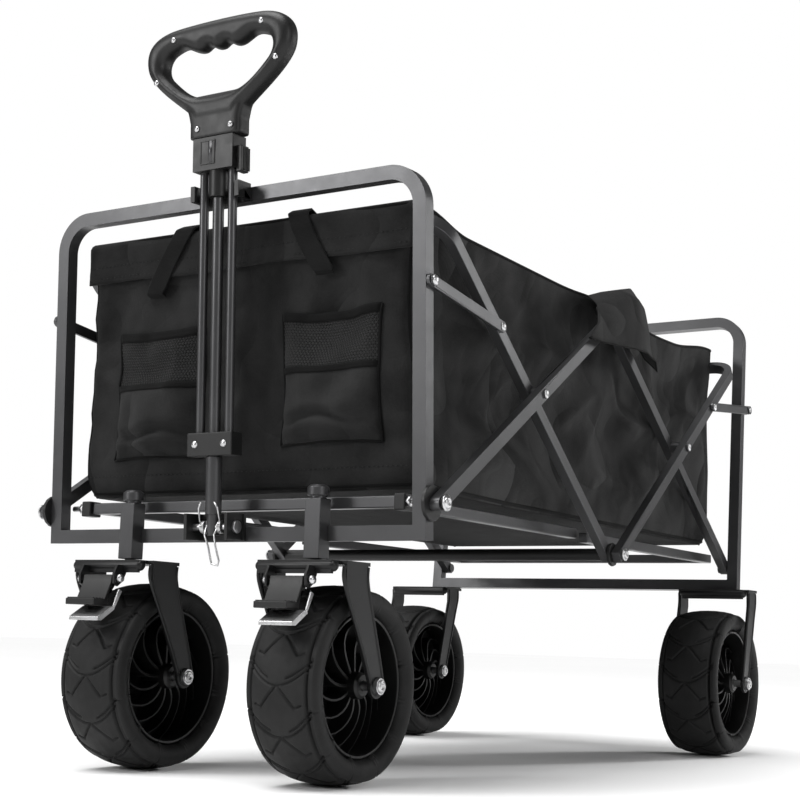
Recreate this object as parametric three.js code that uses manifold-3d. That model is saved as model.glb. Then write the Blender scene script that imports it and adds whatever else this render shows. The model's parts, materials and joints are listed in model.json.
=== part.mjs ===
// A folding camp wagon: two end frames joined by crossed arms, a cloth bag hung between them,
// a telescoping pull handle, two swivelling front casters with brakes and two fixed rear wheels.
//
// Frame: millimetres, +Z up. +X is to the right of someone who faces the front (the handle end),
// -Y is forward, +Y is the rear. The origin is on the ground, in the middle of the bounding box.
import * as THREE from 'three';
import { mergeVertices } from 'three/addons/utils/BufferGeometryUtils.js';
import Module from 'manifold-3d';

const wasm = await Module();
wasm.setup();

// ---- driving dimensions ------------------------------------------------------------------
const TUBE = 16; // square steel tube
const GAP = 0.3; // clearance between pieces that touch
const SIDES = [['left', -1], ['right', 1]];

const FRONT = { half: 260, bottom: 255, top: 653, y: 0, lean: 3, bend: 46 };
const REAR = { half: 270, bottom: 244, top: 686, y: 932, lean: -5.3, bend: 46 };

// Planes of the side linkage, counted outward from the middle of the wagon.
const PLANE = {
  inner: [248, 260], // front U-frame
  rear: [241, 253], // rear arms
  link: [260.4, 264.6], // front links
  rearLink: [276.4, 280.4],
  outer: [265, 276], // front arms and rear U-frame
};
const BAR = 15; // height of an arm seen from the side
const PIN = 4; // radius of a pivot pin
const PIN_HOLE = 4.5;

// Linkage points in the side plane, as [y, z]. The rear crossing is as far from the top middle
// pivot as the front one is, and both are equally far from the bottom middle pivot, so the four
// sides close up flat when the wagon folds.
const FRONT_PIVOT = [6, 293.5];
const FRONT_CROSS = [239, 442];
const MID_TOP = [473.4, 591.4];
const REAR_PIVOT = [943, 277];
const REAR_CROSS = along(MID_TOP, REAR_PIVOT, distance(FRONT_CROSS, MID_TOP));
const MID_BOTTOM_Z = 269.7;
const MID_BOTTOM = [levelPoint(FRONT_CROSS, REAR_CROSS, MID_BOTTOM_Z), MID_BOTTOM_Z];
const U_FRAME_REACH = 267; // from a crossing to the centre of the U-frame's top tube
const FRONT_LINK_ON_U = 108; // from a crossing to the link's rivet on the U-frame
const REAR_LINK_ON_U = 126;
const FRONT_LINK_POST = [-6.3, 525];
const REAR_LINK_POST = [966, 528];

// The floor frames: y and z are those of the end pivot, reach is how far the frame runs from it.
const FLOOR_FRONT = { half: 212, y: 24, z: 297.5, reach: 448 };
const FLOOR_REAR = { half: 226, y: 936, z: 292, reach: 463 };

const WHEEL = { radius: 105, width: 88, bore: 77, rim: 76.6, hub: 15, blades: 12 };
const AXLE = 5;
const FORK_HALF = 55; // outside of a fork arm from the middle of its wheel
const FORK_SHEET = 4;
const CASTER = { x: 129, y: -5, trail: 42, plate: 233, post: 20 };
const REAR_WHEEL = { x: 255.5, y: 851, plate: 242 };
const BRAKE = { pinY: -52, pinZ: 212, half: 21, reach: 35 };

const HANDLE_Y = -18; // the handle's axis in front of the front frame
const HANDLE_PIN_Z = 271;
const SIDE_TUBE = { x: 20, radius: 5.2 };
const CENTRE_TUBE = { low: 9, high: 6.4 };
const CLAMP = { half: 31, bottom: 349, top: 375, depth: 20 };
const COLLAR = { half: 28, bottom: 671, top: 709, depth: 25, sleeve: 30 };
const GRIP = { half: 102, neck: 35, bottom: 709.5, top: 848, thick: 28 };

const BAG = { half: 236, front: 20, rear: 928, floor: 312, top: 576, cloth: 2.5 };
const POCKET = { near: 70, far: 175, bottom: 372, top: 512, deep: 6 };

// The middle of the whole length, from the release plates in front to the rear frame's top edge.
const REAR_LEAN = THREE.MathUtils.degToRad(-REAR.lean);
const REAR_SWAY = (REAR.top - REAR.bottom) * Math.sin(REAR_LEAN);
const REAR_END = REAR.y + TUBE * Math.cos(REAR_LEAN) + REAR_SWAY;
const CENTRE_Y = (BRAKE.pinY - BRAKE.reach + REAR_END) / 2;

// ---- colours ---------------------------------------------------------------------------
const LOOKS = {
  steel: { color: 0x2e2f31, roughness: 0.42, metalness: 0.55 },
  plastic: { color: 0x141415, roughness: 0.5, metalness: 0 },
  gloss: { color: 0x101011, roughness: 0.25, metalness: 0 },
  rubber: { color: 0x19191a, roughness: 0.75, metalness: 0 },
  zinc: { color: 0xb4b6b8, roughness: 0.3, metalness: 0.9 },
  cloth: { color: 0x161617, roughness: 0.9, metalness: 0 },
};

const wagon = new THREE.Group();

// ---- helpers ---------------------------------------------------------------------------
const rad = THREE.MathUtils.degToRad;

function distance(from, to) {
  return Math.hypot(to[0] - from[0], to[1] - from[1]);
}

function along(from, to, reach) {
  const share = reach / distance(from, to);
  return [from[0] + (to[0] - from[0]) * share, from[1] + (to[1] - from[1]) * share];
}

// The first coordinate of the point at height z that is equally far from two points.
function levelPoint(a, b, z) {
  const squares = b[0] ** 2 + b[1] ** 2 - a[0] ** 2 - a[1] ** 2;
  return (squares + 2 * z * (a[1] - b[1])) / (2 * (b[0] - a[0]));
}

function solidOf(geometry) {
  const bare = geometry.index ? geometry.clone() : geometry;
  for (const name of Object.keys(bare.attributes)) {
    if (name !== 'position') bare.deleteAttribute(name);
  }
  const merged = mergeVertices(bare, 1e-4);
  const vertProperties = new Float32Array(merged.attributes.position.array);
  const triVerts = new Uint32Array(merged.index.array);
  return new wasm.Manifold(new wasm.Mesh({ numProp: 3, vertProperties, triVerts }));
}

function geometryOf(solid) {
  const mesh = solid.getMesh();
  const geometry = new THREE.BufferGeometry();
  geometry.setAttribute('position', new THREE.BufferAttribute(mesh.vertProperties, 3));
  geometry.setIndex(new THREE.BufferAttribute(mesh.triVerts, 1));
  return geometry;
}

function join(...geometries) {
  return geometryOf(geometries.map(solidOf).reduce((a, b) => a.add(b)));
}

function cut(geometry, ...tools) {
  return geometryOf(tools.map(solidOf).reduce((a, b) => a.subtract(b), solidOf(geometry)));
}

function add(name, geometry, look) {
  const material = new THREE.MeshStandardMaterial(LOOKS[look]);
  const mesh = new THREE.Mesh(geometry, material);
  mesh.name = name;
  mesh.position.y = -CENTRE_Y;
  wagon.add(mesh);
}

function box(x0, x1, y0, y1, z0, z1) {
  const geometry = new THREE.BoxGeometry(x1 - x0, y1 - y0, z1 - z0);
  return geometry.translate((x0 + x1) / 2, (y0 + y1) / 2, (z0 + z1) / 2);
}

// A turned solid about the X axis through (y, z), from [radius, x] points of rising x.
function turnedX(points, y, z, segments = 16) {
  const profile = points.map(([r, x]) => new THREE.Vector2(r, x));
  const geometry = new THREE.LatheGeometry(profile, segments);
  return geometry.rotateZ(-Math.PI / 2).translate(0, y, z);
}

// A turned solid about a vertical axis through (x, y), from [radius, z] points of rising z.
function turnedZ(points, x, y, segments = 20) {
  const profile = points.map(([r, z]) => new THREE.Vector2(r, z));
  return new THREE.LatheGeometry(profile, segments).rotateX(Math.PI / 2).translate(x, y, 0);
}

// A pin along X on one side of the wagon, from [radius, distance from the middle] points.
function pinX(side, points, [y, z], segments = 12) {
  const ordered = side > 0 ? points : points.map(([r, x]) => [r, -x]).reverse();
  return turnedX(ordered, y, z, segments);
}

// Thickness range of a plane on one side, in rising X.
function spanX(side, [near, far]) {
  return side > 0 ? [near, far] : [-far, -near];
}

// An outline in the (y, z) plane, given as a Shape, made into a plate between two X values.
function plateX(shape, [x0, x1], curveSegments = 8) {
  const settings = { depth: x1 - x0, bevelEnabled: false, curveSegments };
  const turn = new THREE.Matrix4().makeBasis(
    new THREE.Vector3(0, 1, 0),
    new THREE.Vector3(0, 0, 1),
    new THREE.Vector3(1, 0, 0),
  );
  return new THREE.ExtrudeGeometry(shape, settings).applyMatrix4(turn).translate(x0, 0, 0);
}

// An outline in the (x, z) plane made into a plate between two Y values.
function plateY(shape, [y0, y1], curveSegments = 8) {
  const settings = { depth: y1 - y0, bevelEnabled: false, curveSegments };
  return new THREE.ExtrudeGeometry(shape, settings).rotateX(Math.PI / 2).translate(0, y1, 0);
}

function lean(geometry, { y, bottom, lean: angle }) {
  return geometry.translate(0, -y, -bottom).rotateX(rad(angle)).translate(0, y, bottom);
}

function hole(x, y, radius) {
  const path = new THREE.Path();
  path.absarc(x, y, radius, 0, Math.PI * 2, true);
  return path;
}

// A flat bar with round ends between two points of the side plane, with a hole at each of a list
// of distances along it.
function bar(from, to, width, span, holes, overhang = width / 2 + 2) {
  const length = distance(from, to);
  const angle = Math.atan2(to[1] - from[1], to[0] - from[0]);
  const r = width / 2;
  const shape = new THREE.Shape();
  const start = -overhang + r;
  const end = length + overhang - r;
  shape.absarc(end, 0, r, -Math.PI / 2, Math.PI / 2, false);
  shape.absarc(start, 0, r, Math.PI / 2, (3 * Math.PI) / 2, false);
  shape.holes = holes.map((at) => hole(at, 0, PIN_HOLE));
  const geometry = new THREE.ExtrudeGeometry(shape, {
    depth: span[1] - span[0],
    bevelEnabled: false,
    curveSegments: 4,
  });
  const turn = new THREE.Matrix4().makeBasis(
    new THREE.Vector3(0, Math.cos(angle), Math.sin(angle)),
    new THREE.Vector3(0, -Math.sin(angle), Math.cos(angle)),
    new THREE.Vector3(1, 0, 0),
  );
  return geometry.applyMatrix4(turn).translate(span[0], from[0], from[1]);
}

// A rectangle with square lower corners and upper corners of one radius, drawn on a path.
function roundedBox(path, half, z0, z1, radius) {
  path.moveTo(-half, z0);
  path.lineTo(half, z0);
  path.lineTo(half, z1 - radius);
  path.absarc(half - radius, z1 - radius, radius, 0, Math.PI / 2, false);
  path.lineTo(-half + radius, z1);
  path.absarc(-half + radius, z1 - radius, radius, Math.PI / 2, Math.PI, false);
  path.closePath();
  return path;
}

// ---- the end frames ----------------------------------------------------------------------
function endFrame(frame) {
  const { half, bottom, top, y, bend } = frame;
  const outline = roundedBox(new THREE.Shape(), half, bottom, top, bend);
  const low = bottom + TUBE;
  outline.holes = [roundedBox(new THREE.Path(), half - TUBE, low, top - TUBE, bend - TUBE)];
  return lean(plateY(outline, [y, y + TUBE]), frame);
}

// A stub that carries a link: a boss on a leg's outer face, a pin through the link and a head.
function legStub(side, face, [near, far], point) {
  return pinX(side, [
    [0, face - 1], [7, face - 1], [7, near - GAP], [PIN, near - GAP],
    [PIN, far + GAP], [6.5, far + GAP], [6.5, far + 2], [0, far + 2],
  ], point);
}

function frontFrame() {
  const stubs = SIDES.map(([, side]) => legStub(side, FRONT.half, PLANE.link, FRONT_LINK_POST));
  const { x, y, post } = CASTER;
  const reach = post / 2 + GAP;
  const notches = SIDES.map(([, side]) =>
    box(side * x - reach, side * x + reach, y - 30, y + reach, FRONT.bottom - 5, FRONT.bottom + 30));
  add('front_frame', cut(join(endFrame(FRONT), ...stubs), ...notches), 'steel');
}

// The rear arms turn on pins that come out of the rear legs' inner faces, and the rear links on
// stubs on the same legs' outer faces.
function rearFrame() {
  const face = REAR.half - TUBE;
  const [arm] = PLANE.rear;
  const pins = SIDES.map(([, side]) =>
    pinX(side, [
      [0, arm - 3], [7, arm - 3], [7, arm - GAP], [PIN, arm - GAP], [PIN, face + 2], [0, face + 2],
    ], REAR_PIVOT));
  const stubs = SIDES.map(([, side]) => legStub(side, REAR.half, PLANE.rearLink, REAR_LINK_POST));
  add('rear_frame', join(endFrame(REAR), ...pins, ...stubs), 'steel');
}

// ---- crossed arms ------------------------------------------------------------------------

// A rivet fused to one arm: a spacer, a pin through the other arm, and a head.
function rivet(side, base, spacer, pinEnd, at) {
  return pinX(side, [
    [0, base], [8, base], [8, spacer], [PIN, spacer],
    [PIN, pinEnd + GAP], [6.5, pinEnd + GAP], [6.5, pinEnd + 3], [0, pinEnd + 3],
  ], at);
}

function frontArm(name, side) {
  const [inside, between] = PLANE.inner;
  const [face, outside] = PLANE.outer;
  const whole = distance(FRONT_PIVOT, MID_TOP);
  const arm = bar(FRONT_PIVOT, MID_TOP, BAR, spanX(side, PLANE.outer), [0, whole]);
  // the crossing's rivet reaches inward through the U-frame and has its head inside
  const cross = pinX(side, [
    [0, inside - 3], [6.5, inside - 3], [6.5, inside - GAP], [PIN, inside - GAP],
    [PIN, between + GAP], [8, between + GAP], [8, face + 1], [0, face + 1],
  ], FRONT_CROSS);
  const head = pinX(side, [
    [0, outside - 1], [5.5, outside - 1], [5.5, outside + 1.6], [0, outside + 2.4],
  ], FRONT_CROSS);
  add(`front_arm_${name}`, join(arm, cross, head), 'steel');
}

function rearArm(name, side) {
  const whole = distance(MID_TOP, REAR_PIVOT);
  const arm = bar(MID_TOP, REAR_PIVOT, BAR, spanX(side, PLANE.rear), [0, whole]);
  const cross = rivet(side, PLANE.rear[1] - 1, PLANE.outer[0] - GAP, PLANE.outer[1], REAR_CROSS);
  add(`rear_arm_${name}`, join(arm, cross), 'steel');
}

// A U-shaped frame: two side bars that start at the lower middle pivot and a top tube with round
// corners. It is drawn flat, with v running up the bars, and then turned into its slope.
function uFrame([near, far], cross, holesAt) {
  const length = distance(MID_BOTTOM, cross) + U_FRAME_REACH;
  const bend = 40;
  const outline = new THREE.Shape();
  const low = -BAR / 2;
  const high = length + (far - near) / 2;
  outline.moveTo(near, low);
  outline.lineTo(far, low);
  outline.lineTo(far, high - bend);
  outline.absarc(far - bend, high - bend, bend, 0, Math.PI / 2, false);
  outline.lineTo(-far + bend, high);
  outline.absarc(-far + bend, high - bend, bend, Math.PI / 2, Math.PI, false);
  outline.lineTo(-far, low);
  outline.lineTo(-near, low);
  const inside = bend - (far - near);
  outline.lineTo(-near, high - bend);
  outline.absarc(-near + inside, high - bend, inside, Math.PI, Math.PI / 2, true);
  outline.lineTo(near - inside, high - bend + inside);
  outline.absarc(near - inside, high - bend, inside, Math.PI / 2, 0, true);
  outline.closePath();
  const settings = { depth: BAR, bevelEnabled: false, curveSegments: 4 };
  const flat = new THREE.ExtrudeGeometry(outline, settings).translate(0, 0, -BAR / 2);
  const angle = Math.atan2(cross[1] - MID_BOTTOM[1], cross[0] - MID_BOTTOM[0]);
  const turn = new THREE.Matrix4().makeBasis(
    new THREE.Vector3(1, 0, 0),
    new THREE.Vector3(0, Math.cos(angle), Math.sin(angle)),
    new THREE.Vector3(0, -Math.sin(angle), Math.cos(angle)),
  );
  const sloped = flat.applyMatrix4(turn).translate(0, MID_BOTTOM[0], MID_BOTTOM[1]);
  const drill = [[0, near - 1], [PIN_HOLE, near - 1], [PIN_HOLE, far + 1], [0, far + 1]];
  const drills = holesAt.flatMap((at) => SIDES.map(([, side]) => pinX(side, drill, at)));
  return cut(sloped, ...drills);
}

const FRONT_LINK_RIVET = along(FRONT_CROSS, MID_BOTTOM, -FRONT_LINK_ON_U);
const REAR_LINK_RIVET = along(REAR_CROSS, MID_BOTTOM, -REAR_LINK_ON_U);

function frontUFrame() {
  add('front_u_frame', uFrame(PLANE.inner, FRONT_CROSS, [MID_BOTTOM, FRONT_CROSS]), 'steel');
}

// The rear U-frame's lower ends lie against the hubs of the middle cross tube, each with a bolt.
function rearUFrame() {
  const face = PLANE.outer[1];
  const bolts = SIDES.map(([, side]) =>
    pinX(side, [[0, face - 1], [7, face - 1], [7, face + 3], [0, face + 4]], MID_BOTTOM));
  add('rear_u_frame', join(uFrame(PLANE.outer, REAR_CROSS, [REAR_CROSS]), ...bolts), 'steel');
}

// Each link turns on a stub on its leg and lies against a bar of its U-frame.
function links(name, side) {
  const front = bar(FRONT_LINK_POST, FRONT_LINK_RIVET, 13, spanX(side, PLANE.link), [0]);
  add(`front_link_${name}`, front, 'steel');
  const rear = bar(REAR_LINK_POST, REAR_LINK_RIVET, 13, spanX(side, PLANE.rearLink), [0]);
  add(`rear_link_${name}`, rear, 'steel');
}

// The black hub on each front leg that the front arm turns on.
function frontPivotHub(name, side) {
  const leg = FRONT.half + GAP;
  const [face, outside] = PLANE.outer;
  const profile = [
    [0, leg], [19, leg], [19, face - GAP], [PIN, face - GAP],
    [PIN, outside + GAP], [7, outside + GAP], [7, outside + 2], [4, outside + 4], [0, outside + 4],
  ];
  add(`front_pivot_hub_${name}`, pinX(side, profile, FRONT_PIVOT, 16), 'plastic');
}

function midTopHub(name, side) {
  const [inside, between] = PLANE.rear;
  const [face, outside] = PLANE.outer;
  const profile = [
    [0, inside - 4], [7, inside - 4], [7, inside - GAP], [PIN, inside - GAP],
    [PIN, between + GAP], [13, between + GAP], [13, face - GAP], [PIN, face - GAP],
    [PIN, outside + GAP], [7, outside + GAP], [7, outside + 3], [0, outside + 4],
  ];
  add(`mid_top_hub_${name}`, pinX(side, profile, MID_TOP, 14), 'plastic');
}

// The tube between the two lower middle pivots, with a hub at each end.
function midCrossTube() {
  const [inside, between] = PLANE.inner;
  const face = PLANE.outer[0] - GAP;
  const half = [
    [8, inside - GAP], [PIN, inside - GAP], [PIN, between + GAP],
    [15, between + GAP], [15, face], [0, face],
  ];
  const other = half.map(([r, x]) => [r, -x]).reverse();
  add('mid_cross_tube', turnedX([...other, ...half], ...MID_BOTTOM, 12), 'steel');
}

// ---- floor frames --------------------------------------------------------------------------
// Each is a U of tube lying under the bag: a cross tube at the end pivot and two side bars that
// run to the middle of the wagon, side by side there.
function floorFrame(name, { half, y, z, reach }, direction) {
  const outline = new THREE.Shape();
  const width = 13;
  const end = y + direction * reach;
  const back = y - (direction * width) / 2;
  const inner = y + (direction * width) / 2;
  const points = [
    [-half, end], [-half, back], [half, back], [half, end],
    [half - width, end], [half - width, inner], [-half + width, inner], [-half + width, end],
  ];
  const ordered = direction > 0 ? points : [...points].reverse();
  outline.setFromPoints(ordered.map(([a, b]) => new THREE.Vector2(a, b)));
  const geometry = new THREE.ExtrudeGeometry(outline, { depth: width, bevelEnabled: false });
  add(name, geometry.translate(0, 0, z - width / 2), 'steel');
}

// ---- casters and wheels ---------------------------------------------------------------------
function tyre(name, x, y) {
  const { radius, width, bore } = WHEEL;
  const w = width / 2;
  const profile = [
    [bore, -w + 9], [bore + 7, -w + 2], [radius - 15, -w], [radius - 7, -w + 4], [radius - 2, -w + 14],
    [radius, -8], [radius, 8], [radius - 2, w - 14], [radius - 7, w - 4], [radius - 15, w],
    [bore + 7, w - 2], [bore, w - 9], [bore, -w + 9],
  ];
  add(name, turnedX(profile.map(([r, at]) => [r, at + x]), y, radius, 28), 'rubber');
}

function rim(name, x, y) {
  const { radius, width, rim: outer, hub, blades } = WHEEL;
  const w = width / 2 - 10;
  const inner = outer - 3.5;
  const barrel = [[inner, -w], [outer, -w], [outer, w], [inner, w], [inner, -w]];
  const bore = AXLE + 0.5;
  const end = w + 4;
  const boss = [[bore, -end], [hub, -end], [hub, end], [bore, end], [bore, -end]];
  const parts = [turnedX(barrel, 0, 0, 28), turnedX(boss, 0, 0, 14)];
  for (let n = 0; n < blades; n += 1) {
    const blade = box(-w + 5, w - 5, -2, 2, hub - 2, inner + 1);
    parts.push(blade.rotateX((n * 2 * Math.PI) / blades));
  }
  add(name, join(...parts).translate(x, y, radius), 'gloss');
}

// One arm of a fork in the side plane: wide under the plate at its top, round at the axle.
function forkArm(top, topFront, topRear, axleY, span) {
  const z = WHEEL.radius;
  const r = 13;
  const shape = new THREE.Shape();
  shape.moveTo(topFront, top);
  shape.lineTo(topFront, top - 22);
  shape.lineTo(axleY - r, z + 2);
  shape.absarc(axleY, z, r, Math.PI, 2 * Math.PI, false);
  shape.lineTo(axleY + r, z + 2);
  shape.lineTo(topRear, top - 22);
  shape.lineTo(topRear, top);
  shape.closePath();
  shape.holes = [hole(axleY, z, AXLE + 0.5)];
  return plateX(shape, span, 6);
}

// A fork: a plate with a turned-down front lip, and two arms that lean to the axle.
function fork(x, plateTop, [plateFront, plateRear], [armFront, armRear], axleY) {
  const inner = FORK_HALF - FORK_SHEET;
  const nose = FORK_HALF - 8;
  const plate = box(-FORK_HALF, FORK_HALF, armFront, plateRear, plateTop - FORK_SHEET, plateTop);
  const front = box(-nose, nose, plateFront, armFront + 2, plateTop - FORK_SHEET, plateTop);
  const lip = box(-nose, nose, plateFront, plateFront + FORK_SHEET, plateTop - 14, plateTop);
  const arms = SIDES.map(([, side]) =>
    forkArm(plateTop - FORK_SHEET / 2, armFront, armRear, axleY, spanX(side, [inner, FORK_HALF])));
  return join(plate, front, lip, ...arms).translate(x, 0, 0);
}

function caster(name, side) {
  const { x, y, trail, plate } = CASTER;
  const centre = side * x;
  const axleY = y + trail;
  // the square post stands in front of the bottom rail, with a knob on its top and a stem below
  const reach = CASTER.post / 2;
  const post = box(-reach, reach, -reach, reach, plate + 3, 300).translate(centre, y, 0);
  const knobProfile = [[0, 299], [9, 299], [9, 303], [12, 303], [12, 312], [8, 315], [0, 315]];
  const stemProfile = [[0, plate - 12], [6, plate - 12], [6, plate + 4], [0, plate + 4]];
  const knob = turnedZ(knobProfile, centre, y, 16);
  const stem = turnedZ(stemProfile, centre, y, 16);
  add(`caster_post_${name}`, join(post, knob, stem), 'steel');

  const bored = cut(
    fork(centre, plate, [y - 40, y + 22], [y - 23, y + 18], axleY),
    turnedZ([[0, plate - 20], [6.6, plate - 20], [6.6, plate + 10], [0, plate + 10]], centre, y, 20),
  );
  add(`caster_fork_${name}`, bored, 'plastic');
  add(`caster_axle_${name}`, axleAt(centre, axleY), 'zinc');
  wheel(`front_${name}`, centre, axleY);
  brake(name, centre, y);
}

// A bolt through a fork, with a head at each end.
function axleAt(x, y) {
  const outside = FORK_HALF + GAP;
  const profile = [
    [0, -outside - 5], [9, -outside - 5], [9, -outside], [AXLE, -outside],
    [AXLE, outside], [9, outside], [9, outside + 5], [0, outside + 5],
  ];
  return turnedX(profile.map(([r, at]) => [r, at + x]), y, WHEEL.radius, 12);
}

function wheel(name, x, y) {
  tyre(`tyre_${name}`, x, y);
  rim(`rim_${name}`, x, y);
}

// The brake on each front fork: a pedal that turns on a pin under the plate's front edge, and a
// silver release plate below it.
function brake(name, x, y) {
  const { pinY, pinZ, half } = BRAKE;
  const pedal = [
    [5, 4], [5, -3], [-8, -20], [-10, -30], [-32, -30], [-32, -23], [-15, -23], [-6, -4], [-5, 4],
  ];
  const tab = [[-10.5, -31], [-8, -34], [-29, -47], [-BRAKE.reach, -47], [-BRAKE.reach, -43], [-14, -31]];
  const shape = (points) => new THREE.Shape(points.map(([a, b]) => new THREE.Vector2(pinY + a, pinZ + b)));
  const lever = plateX(shape(pedal), [-half, half]);
  add(`brake_pedal_${name}`, lever.translate(x, 0, 0), 'plastic');
  const release = plateX(shape(tab), [10 - half, half + 10]);
  add(`brake_release_${name}`, release.translate(x, 0, 0), 'zinc');
}

function rearWheel(name, side) {
  const { x, y, plate } = REAR_WHEEL;
  const centre = side * x;
  const bracket = box(-34, 34, 896, 948, plate - FORK_SHEET, plate).translate(centre, 0, 0);
  const made = join(fork(centre, plate, [862, 906], [868, 900], y), bracket);
  add(`rear_fork_${name}`, made, 'plastic');
  add(`rear_axle_${name}`, axleAt(centre, y), 'zinc');
  wheel(`rear_${name}`, centre, y);
}

// ---- handle -----------------------------------------------------------------------------
// Everything here is drawn upright and then leans with the front frame.
function addLeaning(name, geometry, look) {
  add(name, lean(geometry, FRONT), look);
}

function handleBracket() {
  // two cheeks on a back plate that is screwed to the bottom rail
  const back = box(-32, 32, -4, -GAP, 256, 286);
  const cheeks = [[-30, -26], [26, 30]].map(([x0, x1]) => box(x0, x1, -32, -3, 257, 286));
  const pinned = turnedX([[0, -40], [PIN_HOLE, -40], [PIN_HOLE, 40], [0, 40]], HANDLE_Y, HANDLE_PIN_Z, 16);
  addLeaning('handle_bracket', cut(join(back, ...cheeks), pinned), 'plastic');
}

function handlePivotPin() {
  const profile = [
    [0, -36], [7, -36], [7, -30.5], [PIN, -30.5], [PIN, 30.5], [7, 30.5], [7, 34], [0, 36],
  ];
  addLeaning('handle_pivot_pin', turnedX(profile, HANDLE_Y, HANDLE_PIN_Z, 16), 'zinc');
}

// The clip on the top rail that the handle's tubes press into when it stands upright.
function handleRestClip() {
  const base = box(-34, 34, -3.3, -GAP, 636, 652);
  const ears = [[-34, -28], [28, 34]].map(([x0, x1]) => box(x0, x1, -26, -3, 638, 656));
  addLeaning('handle_rest_clip', join(base, ...ears), 'plastic');
}

function handleCentreTube() {
  const { low, high } = CENTRE_TUBE;
  const tip = COLLAR.bottom - COLLAR.sleeve - GAP;
  const profile = [
    [0, HANDLE_PIN_Z - 9], [7, HANDLE_PIN_Z - 9], [7, HANDLE_PIN_Z + 14], [low, HANDLE_PIN_Z + 14],
    [low, CLAMP.bottom - 1], [high, CLAMP.bottom - 1], [high, tip], [0, tip],
  ];
  const tube = turnedZ(profile, 0, HANDLE_Y, 20);
  const bore = [[0, -20], [PIN_HOLE, -20], [PIN_HOLE, 20], [0, 20]];
  const drill = turnedX(bore, HANDLE_Y, HANDLE_PIN_Z, 16);
  addLeaning('handle_centre_tube', cut(tube, drill), 'steel');
}

function handleCollar() {
  const { half, bottom, top, depth, sleeve } = COLLAR;
  const body = box(-half, half, HANDLE_Y - depth / 2, HANDLE_Y + depth / 2, bottom, top);
  const low = bottom - sleeve;
  const skirt = turnedZ([[0, low], [11, low], [11, bottom + 1], [0, bottom + 1]], 0, HANDLE_Y, 20);
  const bore = [[0, bottom - 1], [5.9, bottom - 1], [5.9, top + 1], [0, top + 1]];
  const bores = SIDES.map(([, side]) => turnedZ(bore, side * SIDE_TUBE.x, HANDLE_Y, 20));
  addLeaning('handle_collar', cut(join(body, skirt), ...bores), 'plastic');
  const lever = box(half + GAP, half + 8, HANDLE_Y - 6, HANDLE_Y + 8, bottom - 5, bottom + 25);
  addLeaning('handle_lever', lever, 'plastic');
}

function handleSideTubes() {
  const { x, radius } = SIDE_TUBE;
  const low = CLAMP.top + GAP;
  const high = GRIP.bottom - GAP;
  const profile = [[0, low], [radius, low], [radius, high], [0, high]];
  for (const [name, side] of SIDES) {
    addLeaning(`handle_side_tube_${name}`, turnedZ(profile, side * x, HANDLE_Y, 16), 'steel');
  }
}

function handleClamp() {
  const { half, bottom, top, depth } = CLAMP;
  const body = box(-half, half, HANDLE_Y - depth / 2, HANDLE_Y + depth / 2, bottom, top);
  const bore = turnedZ([[0, bottom - 1], [7, bottom - 1], [7, top + 1], [0, top + 1]], 0, HANDLE_Y, 20);
  addLeaning('handle_clamp', cut(body, bore), 'plastic');
}

// The loop grip: a neck that widens into a rounded triangle with a finger gap.
function handleGrip() {
  const { half, neck, bottom, top, thick } = GRIP;
  const outline = new THREE.Shape();
  outline.moveTo(-neck, bottom);
  outline.lineTo(neck, bottom);
  outline.lineTo(neck, bottom + 22);
  outline.bezierCurveTo(45, bottom + 52, half - 6, bottom + 62, half, top - 44);
  outline.bezierCurveTo(half + 6, top - 14, half - 18, top - 4, half - 42, top - 2);
  outline.bezierCurveTo(half - 70, top + 0.5, -half + 70, top + 0.5, -half + 42, top - 2);
  outline.bezierCurveTo(-half + 18, top - 4, -half - 6, top - 14, -half, top - 44);
  outline.bezierCurveTo(-half + 6, bottom + 62, -45, bottom + 52, -neck, bottom + 22);
  outline.closePath();
  const gap = new THREE.Path();
  gap.moveTo(0, top - 36);
  gap.bezierCurveTo(-30, top - 36, -50, top - 34, -62, top - 37);
  gap.bezierCurveTo(-78, top - 42, -74, top - 56, -62, top - 64);
  gap.bezierCurveTo(-48, top - 74, -42, top - 86, -24, top - 87);
  gap.lineTo(24, top - 87);
  gap.bezierCurveTo(42, top - 86, 48, top - 74, 62, top - 64);
  gap.bezierCurveTo(74, top - 56, 78, top - 42, 62, top - 37);
  gap.bezierCurveTo(50, top - 34, 30, top - 36, 0, top - 36);
  outline.holes = [gap];
  addLeaning('handle_grip', plateY(outline, [HANDLE_Y - thick / 2, HANDLE_Y + thick / 2], 7), 'plastic');
}

// The wire spring on the pivot pin: one loop of wire with its two legs resting on the tube.
function handleSpring() {
  const wire = 1.2;
  const route = new THREE.CurvePath();
  const corners = [[-5, 292], [-8, 270], [-5, 238], [9, 238], [12, 270], [9, 292]];
  const points = corners.map(([x, z]) => new THREE.Vector3(x, HANDLE_Y - 15, z));
  for (let n = 1; n < points.length; n += 1) {
    route.add(new THREE.LineCurve3(points[n - 1], points[n]));
  }
  const section = new THREE.Shape();
  section.absarc(0, 0, wire, 0, 2 * Math.PI, false);
  const settings = { extrudePath: route, steps: 24, curveSegments: 3 };
  addLeaning('handle_spring', new THREE.ExtrudeGeometry(section, settings), 'zinc');
}

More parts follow.
